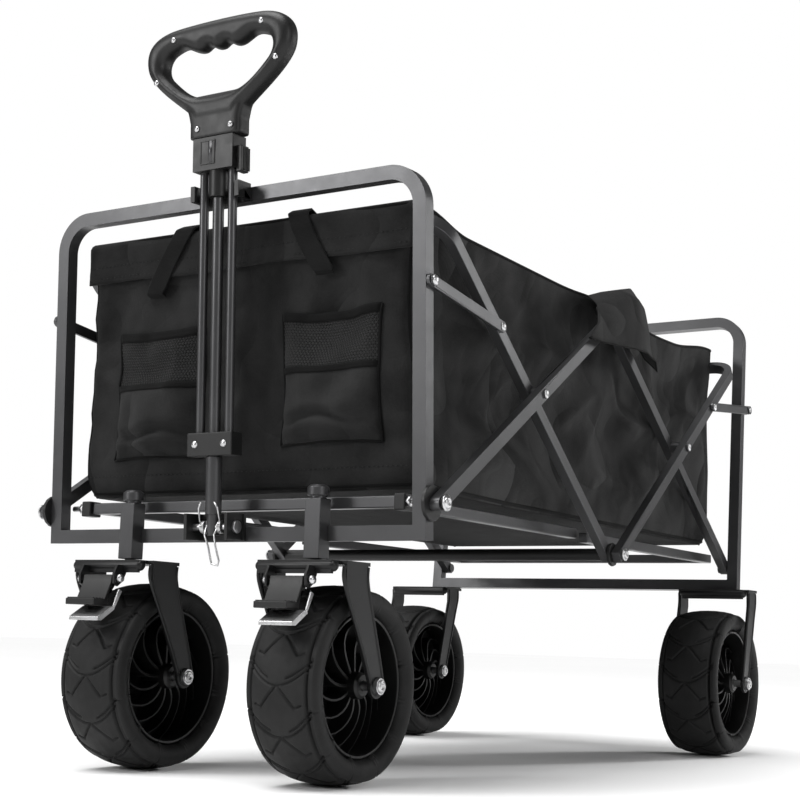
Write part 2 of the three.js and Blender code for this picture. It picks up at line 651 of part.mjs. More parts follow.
// ---- bag --------------------------------------------------------------------------------
// Four walls and a floor between them that share no space; the tops of both U-frames pass just
// above the front and rear walls.
function bag() {
  const { half, front, rear, floor, top, cloth } = BAG;
  const corner = cloth + GAP;
  const wall = (name, ...size) => add(name, box(...size), 'cloth');
  wall('bag_front', -half, half, front, front + cloth, floor, top);
  wall('bag_rear', -half, half, rear - cloth, rear, floor, top);
  wall('bag_left', -half, -half + cloth, front + corner, rear - corner, floor, top);
  wall('bag_right', half - cloth, half, front + corner, rear - corner, floor, top);
  wall('bag_floor', -half + corner, half - corner, front + corner, rear - corner, floor, floor + cloth);
  for (const [name, side] of SIDES) {
    const [x0, x1] = spanX(side, [POCKET.near, POCKET.far]);
    wall(`pocket_${name}`, x0, x1, front - POCKET.deep, front - GAP, POCKET.bottom, POCKET.top);
  }
}

// ---- build --------------------------------------------------------------------------------
frontFrame();
rearFrame();
frontUFrame();
rearUFrame();
midCrossTube();
floorFrame('floor_frame_front', FLOOR_FRONT, 1);
floorFrame('floor_frame_rear', FLOOR_REAR, -1);
for (const [name, side] of SIDES) {
  frontPivotHub(name, side);
  frontArm(name, side);
  rearArm(name, side);
  midTopHub(name, side);
  links(name, side);
  caster(name, side);
  rearWheel(name, side);
}
handleBracket();
handlePivotPin();
handleRestClip();
handleCentreTube();
handleCollar();
handleSideTubes();
handleClamp();
handleGrip();
handleSpring();
bag();

export default wagon;
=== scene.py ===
# A folding camp wagon: the CAD frame with its looks. Lengths are in millimetres until at() or a
# builder turns them into metres in the row frame. y is counted from the front face of the front
# frame's foot towards the rear, as the CAD's own dimensions are.
import json
import math

import bmesh
import bpy
import numpy as np
from mathutils import Matrix, Vector, noise

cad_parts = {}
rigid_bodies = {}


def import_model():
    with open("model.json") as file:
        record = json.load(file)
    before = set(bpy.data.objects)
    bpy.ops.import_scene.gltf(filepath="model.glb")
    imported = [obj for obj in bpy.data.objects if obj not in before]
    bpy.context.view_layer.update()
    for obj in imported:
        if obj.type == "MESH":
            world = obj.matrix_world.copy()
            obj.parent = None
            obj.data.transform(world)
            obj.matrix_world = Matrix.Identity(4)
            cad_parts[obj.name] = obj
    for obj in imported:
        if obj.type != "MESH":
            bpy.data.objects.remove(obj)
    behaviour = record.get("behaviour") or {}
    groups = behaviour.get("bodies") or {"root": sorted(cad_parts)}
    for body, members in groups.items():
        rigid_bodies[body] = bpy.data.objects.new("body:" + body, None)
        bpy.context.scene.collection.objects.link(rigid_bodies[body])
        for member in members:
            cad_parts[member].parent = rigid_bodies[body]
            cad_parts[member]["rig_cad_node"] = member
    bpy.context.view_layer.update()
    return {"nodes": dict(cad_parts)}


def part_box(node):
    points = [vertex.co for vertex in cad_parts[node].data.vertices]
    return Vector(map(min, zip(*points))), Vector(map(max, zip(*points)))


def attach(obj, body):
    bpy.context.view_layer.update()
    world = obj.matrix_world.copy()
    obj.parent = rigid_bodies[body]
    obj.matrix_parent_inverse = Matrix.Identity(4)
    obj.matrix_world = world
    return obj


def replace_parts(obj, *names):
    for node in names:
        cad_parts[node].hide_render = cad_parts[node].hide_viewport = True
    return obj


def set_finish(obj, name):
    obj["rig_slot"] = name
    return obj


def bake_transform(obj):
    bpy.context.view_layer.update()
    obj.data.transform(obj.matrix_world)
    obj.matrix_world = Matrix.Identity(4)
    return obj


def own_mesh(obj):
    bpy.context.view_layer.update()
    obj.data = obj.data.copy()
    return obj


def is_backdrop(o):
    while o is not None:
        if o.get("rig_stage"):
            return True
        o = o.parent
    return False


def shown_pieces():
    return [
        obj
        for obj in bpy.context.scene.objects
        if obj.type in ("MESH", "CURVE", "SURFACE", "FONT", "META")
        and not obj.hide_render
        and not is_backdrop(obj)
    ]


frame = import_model()
NODES = frame["nodes"]

MM = 0.001
AXIS = 0.01  # the radius, in millimetres, at which a turned form ends on its axis
BAG_FRONT = 20.0  # y of the bag's front wall, which ties the row frame to the millimetre one
FOOT_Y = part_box("bag_front")[0][1] - BAG_FRONT * MM
SIDES = (("left", -1), ("right", 1))
LEAN = math.radians(3)
FRONT_FOOT_Z = 255.0


def at(x, y, z):
    """A point given in millimetres, in metres in the row frame."""
    return Vector((x * MM, FOOT_Y + y * MM, z * MM))


def leaning(x, y, z):
    """A point of the handle, drawn upright, after it leans forward with the front frame."""
    rise = z - FRONT_FOOT_Z
    ahead = y * math.cos(LEAN) - rise * math.sin(LEAN)
    return at(x, ahead, FRONT_FOOT_Z + y * math.sin(LEAN) + rise * math.cos(LEAN))


# ---- camera, lights and floor ----
# place in millimetres, turns in degrees, the lens in millimetres on a 36 mm sensor
CAMERA = {"place": (1033.89, -1320.58, 156.76), "yaw": 31.51, "pitch": 8.99, "roll": 1.75, "lens": 67.473}


# name: (place, aimed at, size, power) in metres and watts
LIGHTS = {
    "side": ((3.0, -1.4, 1.5), (0, 0, 0.45), (1.0, 1.2), 22),
    "rim": ((2.3, 2.6, 1.5), (0.1, 0.1, 0.45), (1.2, 1.2), 20),
    "rake": ((1.7, 3.2, 1.2), (0.2, 0.1, 0.45), (0.4, 0.4), 90),
    "front": ((-1.9, -3.1, 1.6), (0, -0.3, 0.45), (0.8, 1.1), 48),
}
BACKDROP_SEEN = 1.0
BACKDROP_LIGHT = 0.13
FLOOR_REACH = 14  # metres
FLOOR_DROP = 0.0005  # metres


def make_camera():
    data = bpy.data.cameras.new("camera")
    data.lens = CAMERA["lens"]
    data.sensor_width = 36
    data.clip_start = 0.05
    data.clip_end = 60
    camera = bpy.data.objects.new("camera", data)
    yaw, pitch, roll = (math.radians(CAMERA[k]) for k in ("yaw", "pitch", "roll"))
    ahead = Vector((-math.sin(yaw) * math.cos(pitch), math.cos(yaw) * math.cos(pitch), math.sin(pitch)))
    level = Vector((math.cos(yaw), math.sin(yaw), 0))
    up = level.cross(ahead)
    right = level * math.cos(roll) + up * math.sin(roll)
    tilted_up = up * math.cos(roll) - level * math.sin(roll)
    turn = Matrix((right, tilted_up, -ahead)).transposed().to_4x4()
    camera.matrix_world = Matrix.Translation(at(*CAMERA["place"])) @ turn
    bpy.context.scene.collection.objects.link(camera)
    bpy.context.scene.camera = camera


def lamp(name, kind, power, direction):
    data = bpy.data.lights.new(name, kind)
    data.energy = power
    made = bpy.data.objects.new(name, data)
    made.rotation_mode = "QUATERNION"
    made.rotation_quaternion = Vector(direction).to_track_quat("-Z", "Y")
    bpy.context.scene.collection.objects.link(made)
    return made


def area_light(name, place, target, size, power):
    made = lamp(name, "AREA", power, Vector(target) - Vector(place))
    made.location = place
    made.data.shape = "RECTANGLE"
    made.data.size, made.data.size_y = size
    return made


def soft_sun(direction, strength, spread):
    """An even light from above, which leaves the floor as bright far away as near the wagon."""
    lamp("soft_sun", "SUN", strength, direction).data.angle = math.radians(spread)


def backdrop():
    """A world that is seen white, and lights the wagon less than it shows."""
    world = bpy.data.worlds.new("studio")
    world.use_nodes = True
    nodes, links = world.node_tree.nodes, world.node_tree.links
    background = nodes["Background"]
    background.inputs["Color"].default_value = (1, 1, 1, 1)
    strength = nodes.new("ShaderNodeMapRange")
    strength.inputs["To Min"].default_value = BACKDROP_LIGHT
    strength.inputs["To Max"].default_value = BACKDROP_SEEN
    links.new(nodes.new("ShaderNodeLightPath").outputs["Is Camera Ray"], strength.inputs["Value"])
    links.new(strength.outputs["Result"], background.inputs["Strength"])
    bpy.context.scene.world = world


def pale_floor():
    mesh = bpy.data.meshes.new("floor")
    corners = [(x * FLOOR_REACH, y * FLOOR_REACH, 0) for x, y in ((-1, -1), (1, -1), (1, 1), (-1, 1))]
    mesh.from_pydata(corners, [], [(0, 1, 2, 3)])
    floor = bpy.data.objects.new("floor", mesh)
    floor.location.z = -FLOOR_DROP
    bpy.context.scene.collection.objects.link(floor)
    mesh.materials.append(floor_material())
    floor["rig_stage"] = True


def studio():
    backdrop()
    bpy.context.scene.view_settings.view_transform = "Standard"
    soft_sun((0.22, 0.3, -1), 3.4, 45)
    lamps = {name: area_light(name, *facts) for name, facts in LIGHTS.items()}
    # the raking light only shades the cloth's folds, and isn't mirrored by the arms
    lamps["rake"].visible_glossy = False
    pale_floor()


# ---- materials ----
class Look:
    """A node material that starts from one Principled shader."""

    def __init__(self, name, roughness, metallic=0.0, **sockets):
        self.material = bpy.data.materials.new(name)
        self.material.use_nodes = True
        self.nodes = self.material.node_tree.nodes
        self.links = self.material.node_tree.links
        self.shader = self.nodes["Principled BSDF"]
        self.shader.inputs["Roughness"].default_value = roughness
        self.shader.inputs["Metallic"].default_value = metallic
        for socket, value in sockets.items():
            self.shader.inputs[socket.replace("_", " ")].default_value = value
        self.place = self.nodes.new("ShaderNodeTexCoord").outputs["Object"]

    def noise(self, scale, detail=3.0, stretch=None):
        texture = self.nodes.new("ShaderNodeTexNoise")
        texture.inputs["Scale"].default_value = scale
        texture.inputs["Detail"].default_value = detail
        place = self.place
        if stretch:
            mapping = self.nodes.new("ShaderNodeMapping")
            mapping.inputs["Scale"].default_value = stretch
            self.links.new(place, mapping.inputs["Vector"])
            place = mapping.outputs["Vector"]
        self.links.new(place, texture.inputs["Vector"])
        return texture.outputs["Fac"]

    def wave(self, scale, direction):
        texture = self.nodes.new("ShaderNodeTexWave")
        texture.bands_direction = direction
        texture.inputs["Scale"].default_value = scale
        self.links.new(self.place, texture.inputs["Vector"])
        return texture.outputs["Fac"]

    def maths(self, operation, *values):
        node = self.nodes.new("ShaderNodeMath")
        node.operation = operation
        for socket, value in zip(node.inputs, values):
            if isinstance(value, (int, float)):
                socket.default_value = value
            else:
                self.links.new(value, socket)
        return node.outputs["Value"]

    def colour(self, value, stops):
        """Base colour by a ramp of (position, colour) stops."""
        node = self.nodes.new("ShaderNodeValToRGB")
        elements = node.color_ramp.elements
        while len(elements) < len(stops):
            elements.new(0.5)
        for element, (position, colour) in zip(elements, stops):
            element.position = position
            element.color = (*colour, 1)
        self.links.new(value, node.inputs["Fac"])
        self.links.new(node.outputs["Color"], self.shader.inputs["Base Color"])

    def rough(self, value, low, high):
        node = self.nodes.new("ShaderNodeMapRange")
        node.inputs["To Min"].default_value = low
        node.inputs["To Max"].default_value = high
        self.links.new(value, node.inputs["Value"])
        self.links.new(node.outputs["Result"], self.shader.inputs["Roughness"])

    def bump(self, value, strength, distance):
        """Adds a bump on top of those already there."""
        node = self.nodes.new("ShaderNodeBump")
        node.inputs["Strength"].default_value = strength
        node.inputs["Distance"].default_value = distance
        self.links.new(value, node.inputs["Height"])
        normal = self.shader.inputs["Normal"]
        if normal.is_linked:
            self.links.new(normal.links[0].from_socket, node.inputs["Normal"])
        self.links.new(node.outputs["Normal"], normal)

    def creases(self, scale, height):
        """Soft folds that meet in sharper lines, about 1/scale metres apart."""
        folded = self.maths("ABSOLUTE", self.maths("SUBTRACT", self.noise(scale, 1), 0.5))
        self.bump(folded, 1.0, height)


def grey(value, tint=0.0):
    return (value, value, value * (1 + tint))


def floor_material():
    look = Look("studio_floor", 0.9)
    look.colour(look.noise(0.7), [(0.3, grey(0.88)), (0.7, grey(0.9))])
    look.rough(look.noise(6), 0.85, 0.95)
    return look.material


def coated_steel(name, dark, light, roughness, metallic, specular=0.5):
    """Powder coat: a slow change of shade, and the fine orange peel of the baked powder."""
    look = Look(name, roughness, metallic, Specular_IOR_Level=specular)
    look.colour(look.noise(9, 4), [(0.25, grey(dark, 0.03)), (0.75, grey(light, 0.03))])
    look.rough(look.noise(55, 4), roughness - 0.05, roughness + 0.08)
    look.bump(look.noise(1700, 2), 0.22, 0.0002)
    return look.material


def moulded(name, dark, light, roughness, grain=1500, depth=0.3):
    look = Look(name, roughness, 0.0, Specular_IOR_Level=0.34)
    look.colour(look.noise(14, 4), [(0.3, grey(dark)), (0.7, grey(light))])
    look.rough(look.noise(90, 4), roughness - 0.06, roughness + 0.1)
    look.bump(look.noise(grain, 2), depth, 0.0002)
    return look.material


def rubber():
    look = Look("tyre_rubber", 0.6, 0.0, Specular_IOR_Level=0.24)
    look.colour(look.noise(22, 5), [(0.3, grey(0.006)), (0.72, grey(0.013))])
    look.rough(look.noise(120, 4), 0.5, 0.72)
    look.bump(look.noise(900, 3), 0.3, 0.0003)
    return look.material


def zinc():
    look = Look("zinc_plate", 0.28, 1.0)
    shade = 0.62
    look.colour(look.noise(60, 5), [(0.3, grey(shade * 0.82)), (0.7, grey(shade, 0.02))])
    look.rough(look.noise(300, 3, stretch=(1, 6, 1)), 0.2, 0.42)
    look.bump(look.noise(900, 2, stretch=(1, 8, 1)), 0.15, 0.0002)
    return look.material


def woven(name, dark, light, pitch, sheen, depth=0.5, crumpled=()):
    """Plain weave: warp and weft threads that cross, with slow changes of tone along the cloth and broad
    patches of painted fold shade.
    """
    roughness = 0.82
    look = Look(name, roughness, 0.0, Sheen_Weight=sheen, Sheen_Roughness=0.5, Specular_IOR_Level=0.1)
    turns = 2 * math.pi / (pitch * MM) / 20
    threads = look.maths("MULTIPLY", look.wave(turns, "X"), look.wave(turns, "Z"))
    threads = look.maths("ADD", threads, look.maths("MULTIPLY", look.wave(turns, "Y"), 0.5))
    mottling_and_fold_shade = look.maths("ADD", look.noise(26, 6), look.maths("MULTIPLY", look.noise(420, 2), 0.35))
    # broad 140 mm patches: painted light and shade standing in for the shading of the cloth's folds
    mottling_and_fold_shade = look.maths("ADD", mottling_and_fold_shade, look.maths("MULTIPLY", look.noise(7, 3), 0.8))
    look.colour(look.maths("MULTIPLY", mottling_and_fold_shade, 0.5), [(0.34, grey(dark)), (0.64, grey(light))])
    look.rough(look.noise(40, 4), roughness - 0.08, roughness + 0.08)
    for scale, height in crumpled:
        look.creases(scale, height)
    look.bump(threads, depth, 0.0003)
    return look.material


STEEL = coated_steel("frame_powder_coat", 0.06, 0.085, 0.34, 0.7)
FORK = coated_steel("fork_powder_coat", 0.007, 0.012, 0.36, 0.2, specular=0.32)
PLASTIC = moulded("black_plastic", 0.006, 0.011, 0.4)
GRIP = moulded("grip_plastic", 0.006, 0.011, 0.42, grain=1100, depth=0.35)
RIM = moulded("rim_plastic", 0.002, 0.004, 0.4, grain=600, depth=0.08)
RUBBER = rubber()
ZINC = zinc()
CLOTH = woven("bag_cloth", 0.007, 0.021, 0.9, 0.03, crumpled=((6.5, 0.075), (15, 0.01)))
CLOTH_DARK = woven("binding_tape_and_floor_shade", 0.002, 0.005, 1.2, 0.015)
WEBBING = woven("webbing", 0.003, 0.008, 1.6, 0.03, depth=0.8)
NET = woven("pocket_net", 0.022, 0.038, 0.8, 0.05)
THREAD = woven("stitching", 0.012, 0.02, 0.5, 0.05)


# ---- builders ----
def piece(name, points, faces, material, body, slot, smooth=True):
    """One mesh in metres in the row frame. It rides on a body, unless body is None."""
    mesh = bpy.data.meshes.new(name)
    mesh.from_pydata([tuple(p) for p in points], [], faces)
    mesh.materials.append(material)
    shell = bmesh.new()
    shell.from_mesh(mesh)
    bmesh.ops.remove_doubles(shell, verts=shell.verts, dist=1e-6)
    bmesh.ops.recalc_face_normals(shell, faces=shell.faces)
    for face in shell.faces:
        face.smooth = smooth
    shell.to_mesh(mesh)
    shell.free()
    made = bpy.data.objects.new(name, mesh)
    bpy.context.scene.collection.objects.link(made)
    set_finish(made, slot)
    if body:
        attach(made, body)
    return made


def lattice(rows, columns, closed=False, looped=False):
    """Faces between points that lie row after row. closed joins each row's last point to its first,
    and looped joins the last row to the first."""
    faces = []
    for r in range(rows if looped else rows - 1):
        here, below = r * columns, (r + 1) % rows * columns
        for c in range(columns if closed else columns - 1):
            after = (c + 1) % columns
            faces.append((here + c, here + after, below + after, below + c))
    return faces


def grid(rows, columns, point, closed=False):
    """Points and faces of a sheet whose point(u, v) is asked for at u from 0 to 1 down the rows
    and v from 0 to 1 across the columns. closed joins the last column to the first."""
    across = columns if closed else columns + 1
    points = [point(r / rows, c / columns) for r in range(rows + 1) for c in range(across)]
    return points, lattice(rows + 1, across, closed)


def turned(profile, centre, axis="X", segments=24, place=at):
    """A turned form from (radius, distance along the axis) points, centred on a point."""
    cx, cy, cz = centre

    def point(u, v):
        radius, along = profile[round(u * (len(profile) - 1))]
        angle = v * 2 * math.pi
        a, b = radius * math.cos(angle), radius * math.sin(angle)
        if axis == "X":
            return place(cx + along, cy + a, cz + b)
        if axis == "Y":
            return place(cx + a, cy + along, cz + b)
        return place(cx + a, cy + b, cz + along)

    return grid(len(profile) - 1, segments, point, closed=True)


def gather(*parts):
    """Several (points, faces) pairs as one."""
    points, faces = [], []
    for more_points, more_faces in parts:
        base = len(points)
        points += more_points
        faces += [tuple(base + i for i in f) for f in more_faces]
    return points, faces


def block(x0, x1, y0, y1, z0, z1, place=at):
    points = [place(x, y, z) for x in (x0, x1) for y in (y0, y1) for z in (z0, z1)]
    faces = [(0, 1, 3, 2), (4, 6, 7, 5), (0, 4, 5, 1), (2, 3, 7, 6), (0, 2, 6, 4), (1, 5, 7, 3)]
    return points, faces


def tube(route, radius, segments=10, closed=False):
    """A round tube along a list of points in metres."""
    points = [Vector(p) for p in route]
    count = len(points)
    made = []
    side = None
    for i, p in enumerate(points):
        before = points[(i - 1) % count] if closed or i > 0 else p
        after = points[(i + 1) % count] if closed or i < count - 1 else p
        ahead = (after - before).normalized()
        if side is None:
            side = ahead.orthogonal().normalized()
        side = (side - ahead * side.dot(ahead)).normalized()
        other = ahead.cross(side)
        for s in range(segments):
            angle = 2 * math.pi * s / segments
            made.append(p + (side * math.cos(angle) + other * math.sin(angle)) * radius * MM)
    faces = lattice(count, segments, closed=True, looped=closed)
    if not closed:
        last = (count - 1) * segments
        faces += [tuple(range(segments)), tuple(range(last, last + segments))]
    return made, faces


def modifier(made, kind, **settings):
    added = made.modifiers.new(kind.lower(), kind)
    for setting, value in settings.items():
        setattr(added, setting, value)
    return added


def apply_modifiers(made):
    """Replaces a piece's mesh by the one that its modifiers give."""
    bpy.context.view_layer.update()
    result = bpy.data.meshes.new_from_object(made.evaluated_get(bpy.context.evaluated_depsgraph_get()))
    made.modifiers.clear()
    made.data = result


def eased(made, width, segments=3):
    """Rounds a made piece's sharp edges."""
    modifier(made, "BEVEL", width=width * MM, segments=segments, limit_method="ANGLE", harden_normals=True)
    return made


def smoothstep(low, high, value):
    t = min(max((value - low) / (high - low), 0.0), 1.0)
    return t * t * (3 - 2 * t)


# ---- CAD nodes that stay ----
def dress(names, material, radius):
    """Gives CAD nodes their finish and eases their edges with modifiers."""
    for name in names:
        node = NODES[name]
        node.data.materials.clear()
        node.data.materials.append(material)
        for shading in ("custom_normal", "sharp_edge"):
            if shading in node.data.attributes:
                node.data.attributes.remove(node.data.attributes[shading])
        for polygon in node.data.polygons:
            polygon.use_smooth = True
        modifier(node, "WELD", merge_threshold=0.00001)
        modifier(node, "BEVEL", width=radius * MM, segments=3, limit_method="ANGLE",
                 angle_limit=math.radians(32), harden_normals=True, loop_slide=False)


def both(*names):
    return [f"{name}_{side}" for name in names for side, _ in SIDES]


def dress_frame():
    end_frames = ["front_frame", "rear_frame", "front_u_frame", "rear_u_frame"]
    dress(end_frames + ["floor_frame_front", "floor_frame_rear"], STEEL, 1.6)
    dress(both("front_arm", "rear_arm", "front_link", "rear_link"), STEEL, 1.2)
    dress(both("caster_post"), STEEL, 0.8)
    dress(["mid_cross_tube"] + both("front_pivot_hub", "mid_top_hub"), PLASTIC, 0.8)
    dress(both("caster_fork", "rear_fork"), FORK, 1.2)
    dress(both("brake_pedal"), PLASTIC, 1.0)
    dress(both("brake_release", "caster_axle", "rear_axle") + ["handle_pivot_pin"], ZINC, 0.5)
    fittings = ["handle_bracket", "handle_rest_clip", "handle_collar", "handle_lever", "handle_clamp"]
    dress(fittings, PLASTIC, 1.2)
    dress(["handle_centre_tube", "handle_side_tube_left", "handle_side_tube_right"], STEEL, 0.4)


# ---- fasteners ----
def beyond(start, through, reach):
    """The point of the side plane that lies reach beyond through, seen from start."""
    length = math.hypot(through[0] - start[0], through[1] - start[1])
    return tuple(b + (b - a) * reach / length for a, b in zip(start, through))


# pivots of the side linkage as (y, z)
FRONT_PIVOT = (6, 293.5)
FRONT_CROSS = (239.0, 442.0)
REAR_CROSS = (704.376, 436.76)
MID_BOTTOM = (469.778, 269.7)
FRONT_LINK_POST = (-6.3, 525)
REAR_LINK_POST = (966, 528)
FRONT_LINK_END = beyond(MID_BOTTOM, FRONT_CROSS, 108)
REAR_LINK_END = beyond(MID_BOTTOM, REAR_CROSS, 126)
# the bolt through each front leg and the floor frame's end, as (y, z), and where it starts in X
FLOOR_PIVOT = (20, 297.5)
FLOOR_PIVOT_X = 226


def rivet_head(name, side, face, centre, body, radius, height):
    """A zinc dome head on an outer face, at (y, z) of the side plane."""
    dome = [(1, 0.0), (1, 0.5 / height), (0.9, 0.55), (0.62, 0.85), (0.3, 1)]
    profile = [(radius * r, side * height * h) for r, h in dome]
    profile = [(AXIS, 0)] + profile + [(AXIS, side * height)]
    piece(name, *turned(profile, (side * face, *centre), "X", 20), ZINC, body, "zinc_steel")


def cross_bolt(name, side, face, centre, body, radius):
    """A pan head with a washer; its crossed recess is drawn as a round dip."""
    rim = radius + 2.5
    washer = [(AXIS, 0), (rim, 0), (rim, 1.2), (AXIS, 1.2)]
    head = [(radius, 1.2), (radius, 2.2), (radius * 0.85, 3.6), (radius * 0.5, 4.2), (radius * 0.42, 3.0)]
    head.append((AXIS, 2.6))
    parts = []
    for profile in (washer, head):
        outward = [(r, side * out) for r, out in profile]
        parts.append(turned(outward, (side * face, *centre), "X", 24))
    piece(name, *gather(*parts), ZINC, body, "zinc_steel")


def outer_face(node):
    """How far a node reaches from the middle plane, in millimetres."""
    low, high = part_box(node)
    return max(abs(low[0]), abs(high[0])) / MM


def fasteners():
    """Zinc rivets and bolts of the side linkage, on both sides."""
    for name, side in SIDES:
        front_post = outer_face(f"front_link_{name}") + 2.2
        rear_post = outer_face(f"rear_link_{name}") + 0.1
        heads = [
            ("front_link_post_head", front_post, FRONT_LINK_POST, "front_frame", 5.6, 3),
            ("front_link_end_head", 264.6, FRONT_LINK_END, "front_u", 5.0, 2.6),
            ("rear_link_post_head", rear_post, REAR_LINK_POST, "rear_end", 5.4, 2.4),
            ("rear_link_end_head", 280.4, REAR_LINK_END, "rear_u", 5.2, 2.6),
            ("front_cross_head", 278.0, FRONT_CROSS, "front_arms", 5.2, 2.0),
            ("rear_cross_head", 278.8, (704.4, 436.8), "rear_arms", 5.0, 2.0),
        ]
        for head, *facts in heads:
            rivet_head(f"{head}_{name}", side, *facts)
        cross_bolt(f"front_pivot_bolt_{name}", side, 279.8, FRONT_PIVOT, "front_frame", 6.4)
        cross_bolt(f"mid_bottom_bolt_{name}", side, 279.8, (469.8, 269.7), "rear_u", 5.6)


def floor_pivots():
    """The blocks that carry the front floor frame's ends, each bolted through the front leg."""
    for name, side in SIDES:
        near, far = sorted((side * 212.4, side * FLOOR_PIVOT_X))
        carrier = block(near, far, 13, 33, 288, 306)
        made = piece(f"floor_pivot_block_{name}", *carrier, PLASTIC, "front_frame", "black_plastic")
        eased(made, 1.5)
        start = (side * FLOOR_PIVOT_X, *FLOOR_PIVOT)
        shank, nut = (turned([(AXIS, 0), (r, 0), (r, side * reach), (AXIS, side * reach)], start, "X", sides)
                      for r, reach, sides in ((3.4, 17.8, 16), (6.4, 5, 6)))
        piece(f"floor_pivot_bolt_{name}", *gather(shank, nut), ZINC, "front_frame", "zinc_steel")


# ---- tyres ----
WHEEL_RADIUS = 105.0
TREAD_PERIOD = 2 * math.pi * WHEEL_RADIUS / 12
TYRE_PROFILE = [
    (77.2, -33), (78.5, -37.5), (82, -41.2), (87, -43.4), (92, -44), (96.5, -43), (98.8, -41), (99.2, -39.2),
    (98.8, -37.8), (100, -36), (101.8, -31), (103.4, -23), (104.6, -12), (105, 0),
]


def tyre_section():
    """(radius, x) points across the tyre: fine over the tread, coarser down the walls."""
    half = TYRE_PROFILE + [(r, -x) for r, x in reversed(TYRE_PROFILE[:-1])]
    xs = [x for _, x in half]
    section = half[:10]
    tread = np.arange(-36.0, 36.01, 1.05)
    section += [(float(np.interp(x, xs, [r for r, _ in half])), float(x)) for x in tread[1:-1]]
    return section + [(r, -x) for r, x in reversed(half[:10])]


def tread_lines():
    """Grooves of one period as (along the circumference, across) segments."""
    lines = []

    def curve(points):
        lines.extend(zip(points[:-1], points[1:]))

    for side in (-1, 1):
        curve([(0.016 * x * x, side * x) for x in range(0, 40, 3)])
        curve([(5.5 + 0.016 * x * x, side * x) for x in range(12, 40, 3)])
        curve([(0, 0), (-8, side * 8), (-17, side * 16), (-23, side * 21), (-20, side * 28)])
    return np.array(lines, float)


def groove_depths(along, across):
    """How deep each tread point is cut, for arrays of the two surface coordinates."""
    nearest = np.full(along.shape, 1e9)
    for (a0, x0), (a1, x1) in tread_lines():
        for shift in (-TREAD_PERIOD, 0, TREAD_PERIOD):
            pa, px = along - a0 - shift, across - x0
            da, dx = a1 - a0, x1 - x0
            share = np.clip((pa * da + px * dx) / (da * da + dx * dx), 0, 1)
            nearest = np.minimum(nearest, np.hypot(pa - share * da, px - share * dx))
    cut = np.clip(1 - (nearest - 0.7) / 0.8, 0, 1) * 2.4
    notch = np.clip(1 - (np.abs(along - TREAD_PERIOD / 2) - 0.6) / 0.9, 0, 1) * 2.2
    return np.where(np.abs(across) < 38, cut, 0) + np.where(np.abs(np.abs(across) - 39) < 4.2, notch, 0)


def tyre_mesh():
    section = tyre_section()
    steps = 576
    shape = (len(section), steps)
    angles = np.arange(steps) / steps * 2 * math.pi
    along = (angles * WHEEL_RADIUS + TREAD_PERIOD / 2) % TREAD_PERIOD - TREAD_PERIOD / 2
    radii, across = (np.broadcast_to(column[:, None], shape) for column in np.array(section).T)
    radii = radii - groove_depths(np.broadcast_to(along, shape), across)
    points = np.stack([across, radii * np.sin(angles), radii * np.cos(angles)], -1).reshape(-1, 3) * MM
    return points, lattice(*shape, closed=True, looped=True)


def wheel_pieces():
    tyre_points, tyre_faces = tyre_mesh()
    rim_points, rim_faces = rim_form()
    for end in ("front", "rear"):
        for side, _ in SIDES:
            wheel = f"{end}_{side}"
            low, high = (Vector(c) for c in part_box(f"tyre_{wheel}"))
            centre = (low + high) / 2
            body = f"{end}_wheel_{side}"
            placed = [Vector(p) + centre for p in tyre_points]
            tyre = piece(f"treaded_tyre_{wheel}", placed, tyre_faces, RUBBER, body, "tyre_rubber")
            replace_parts(tyre, f"tyre_{wheel}")
            placed = [p + centre for p in rim_points]
            rim = piece(f"turbine_rim_{wheel}", placed, rim_faces, RIM, body, "rim_plastic")
            eased(rim, 0.7, 2)
            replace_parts(rim, f"rim_{wheel}")


# ---- rims ----
RIM_BLADES = 12


def blade(turn, side):
    """A curved fin from the hub to the barrel, standing out of the web on one side."""
    thick = 1.5
    steps = 9
    points, faces = [], []
    for i in range(steps + 1):
        share = i / steps
        radius = 13 + share * 60
        angle = turn + side * (0.95 * share ** 1.7 - 0.1 * math.sin(share * 3))
        out = 27 - 12 * smoothstep(0.1, 1.0, share)
        s, c = math.sin(angle), math.cos(angle)
        for offset in (-thick, thick):
            for x in (1.5, out):
                points.append(Vector((side * x, radius * s + offset * c, radius * c - offset * s)) * MM)
    for i in range(steps):
        a, b = i * 4, (i + 1) * 4
        faces += [(a, b, b + 1, a + 1), (a + 2, a + 3, b + 3, b + 2)]
        faces += [(a + 1, b + 1, b + 3, a + 3), (a, a + 2, b + 2, b)]
    last = steps * 4
    return points, faces + [(0, 1, 3, 2), (last, last + 2, last + 3, last + 1)]


def rim_form():
    def here(x, y, z):
        return Vector((x, y, z)) * MM

    half = [(76.8, 34), (75, 36.5), (72.6, 36), (72, 33), (72.4, 3)]
    barrel = half + [(r, -x) for r, x in reversed(half)] + [half[0]]
    web = [(14, -2), (73, -2), (73, 2), (14, 2), (14, -2)]
    hub = [(5.5, -38), (11, -38), (14, -35), (15.5, -10)]
    hub += [(r, -x) for r, x in reversed(hub)] + [hub[0]]
    parts = [turned(profile, (0, 0, 0), "X", 72, here) for profile in (barrel, web, hub)]
    for n in range(RIM_BLADES):
        parts += [blade(2 * math.pi * n / RIM_BLADES, side) for side in (-1, 1)]
    return gather(*parts)


# ---- handle ----
HANDLE_Y = -18.0
GRIP_SIZE = {"half": 102.0, "neck": 35.0, "bottom": 709.5, "top": 848.0, "thick": 28.0, "round": 12.0}
GRIP_SCREWS = [(-83, 784), (-59, 831), (66, 831), (86, 786), (-22, 720), (25, 719)]  # (x, z)
CLAMP_RIVETS = [(-20, 362), (20, 362)]


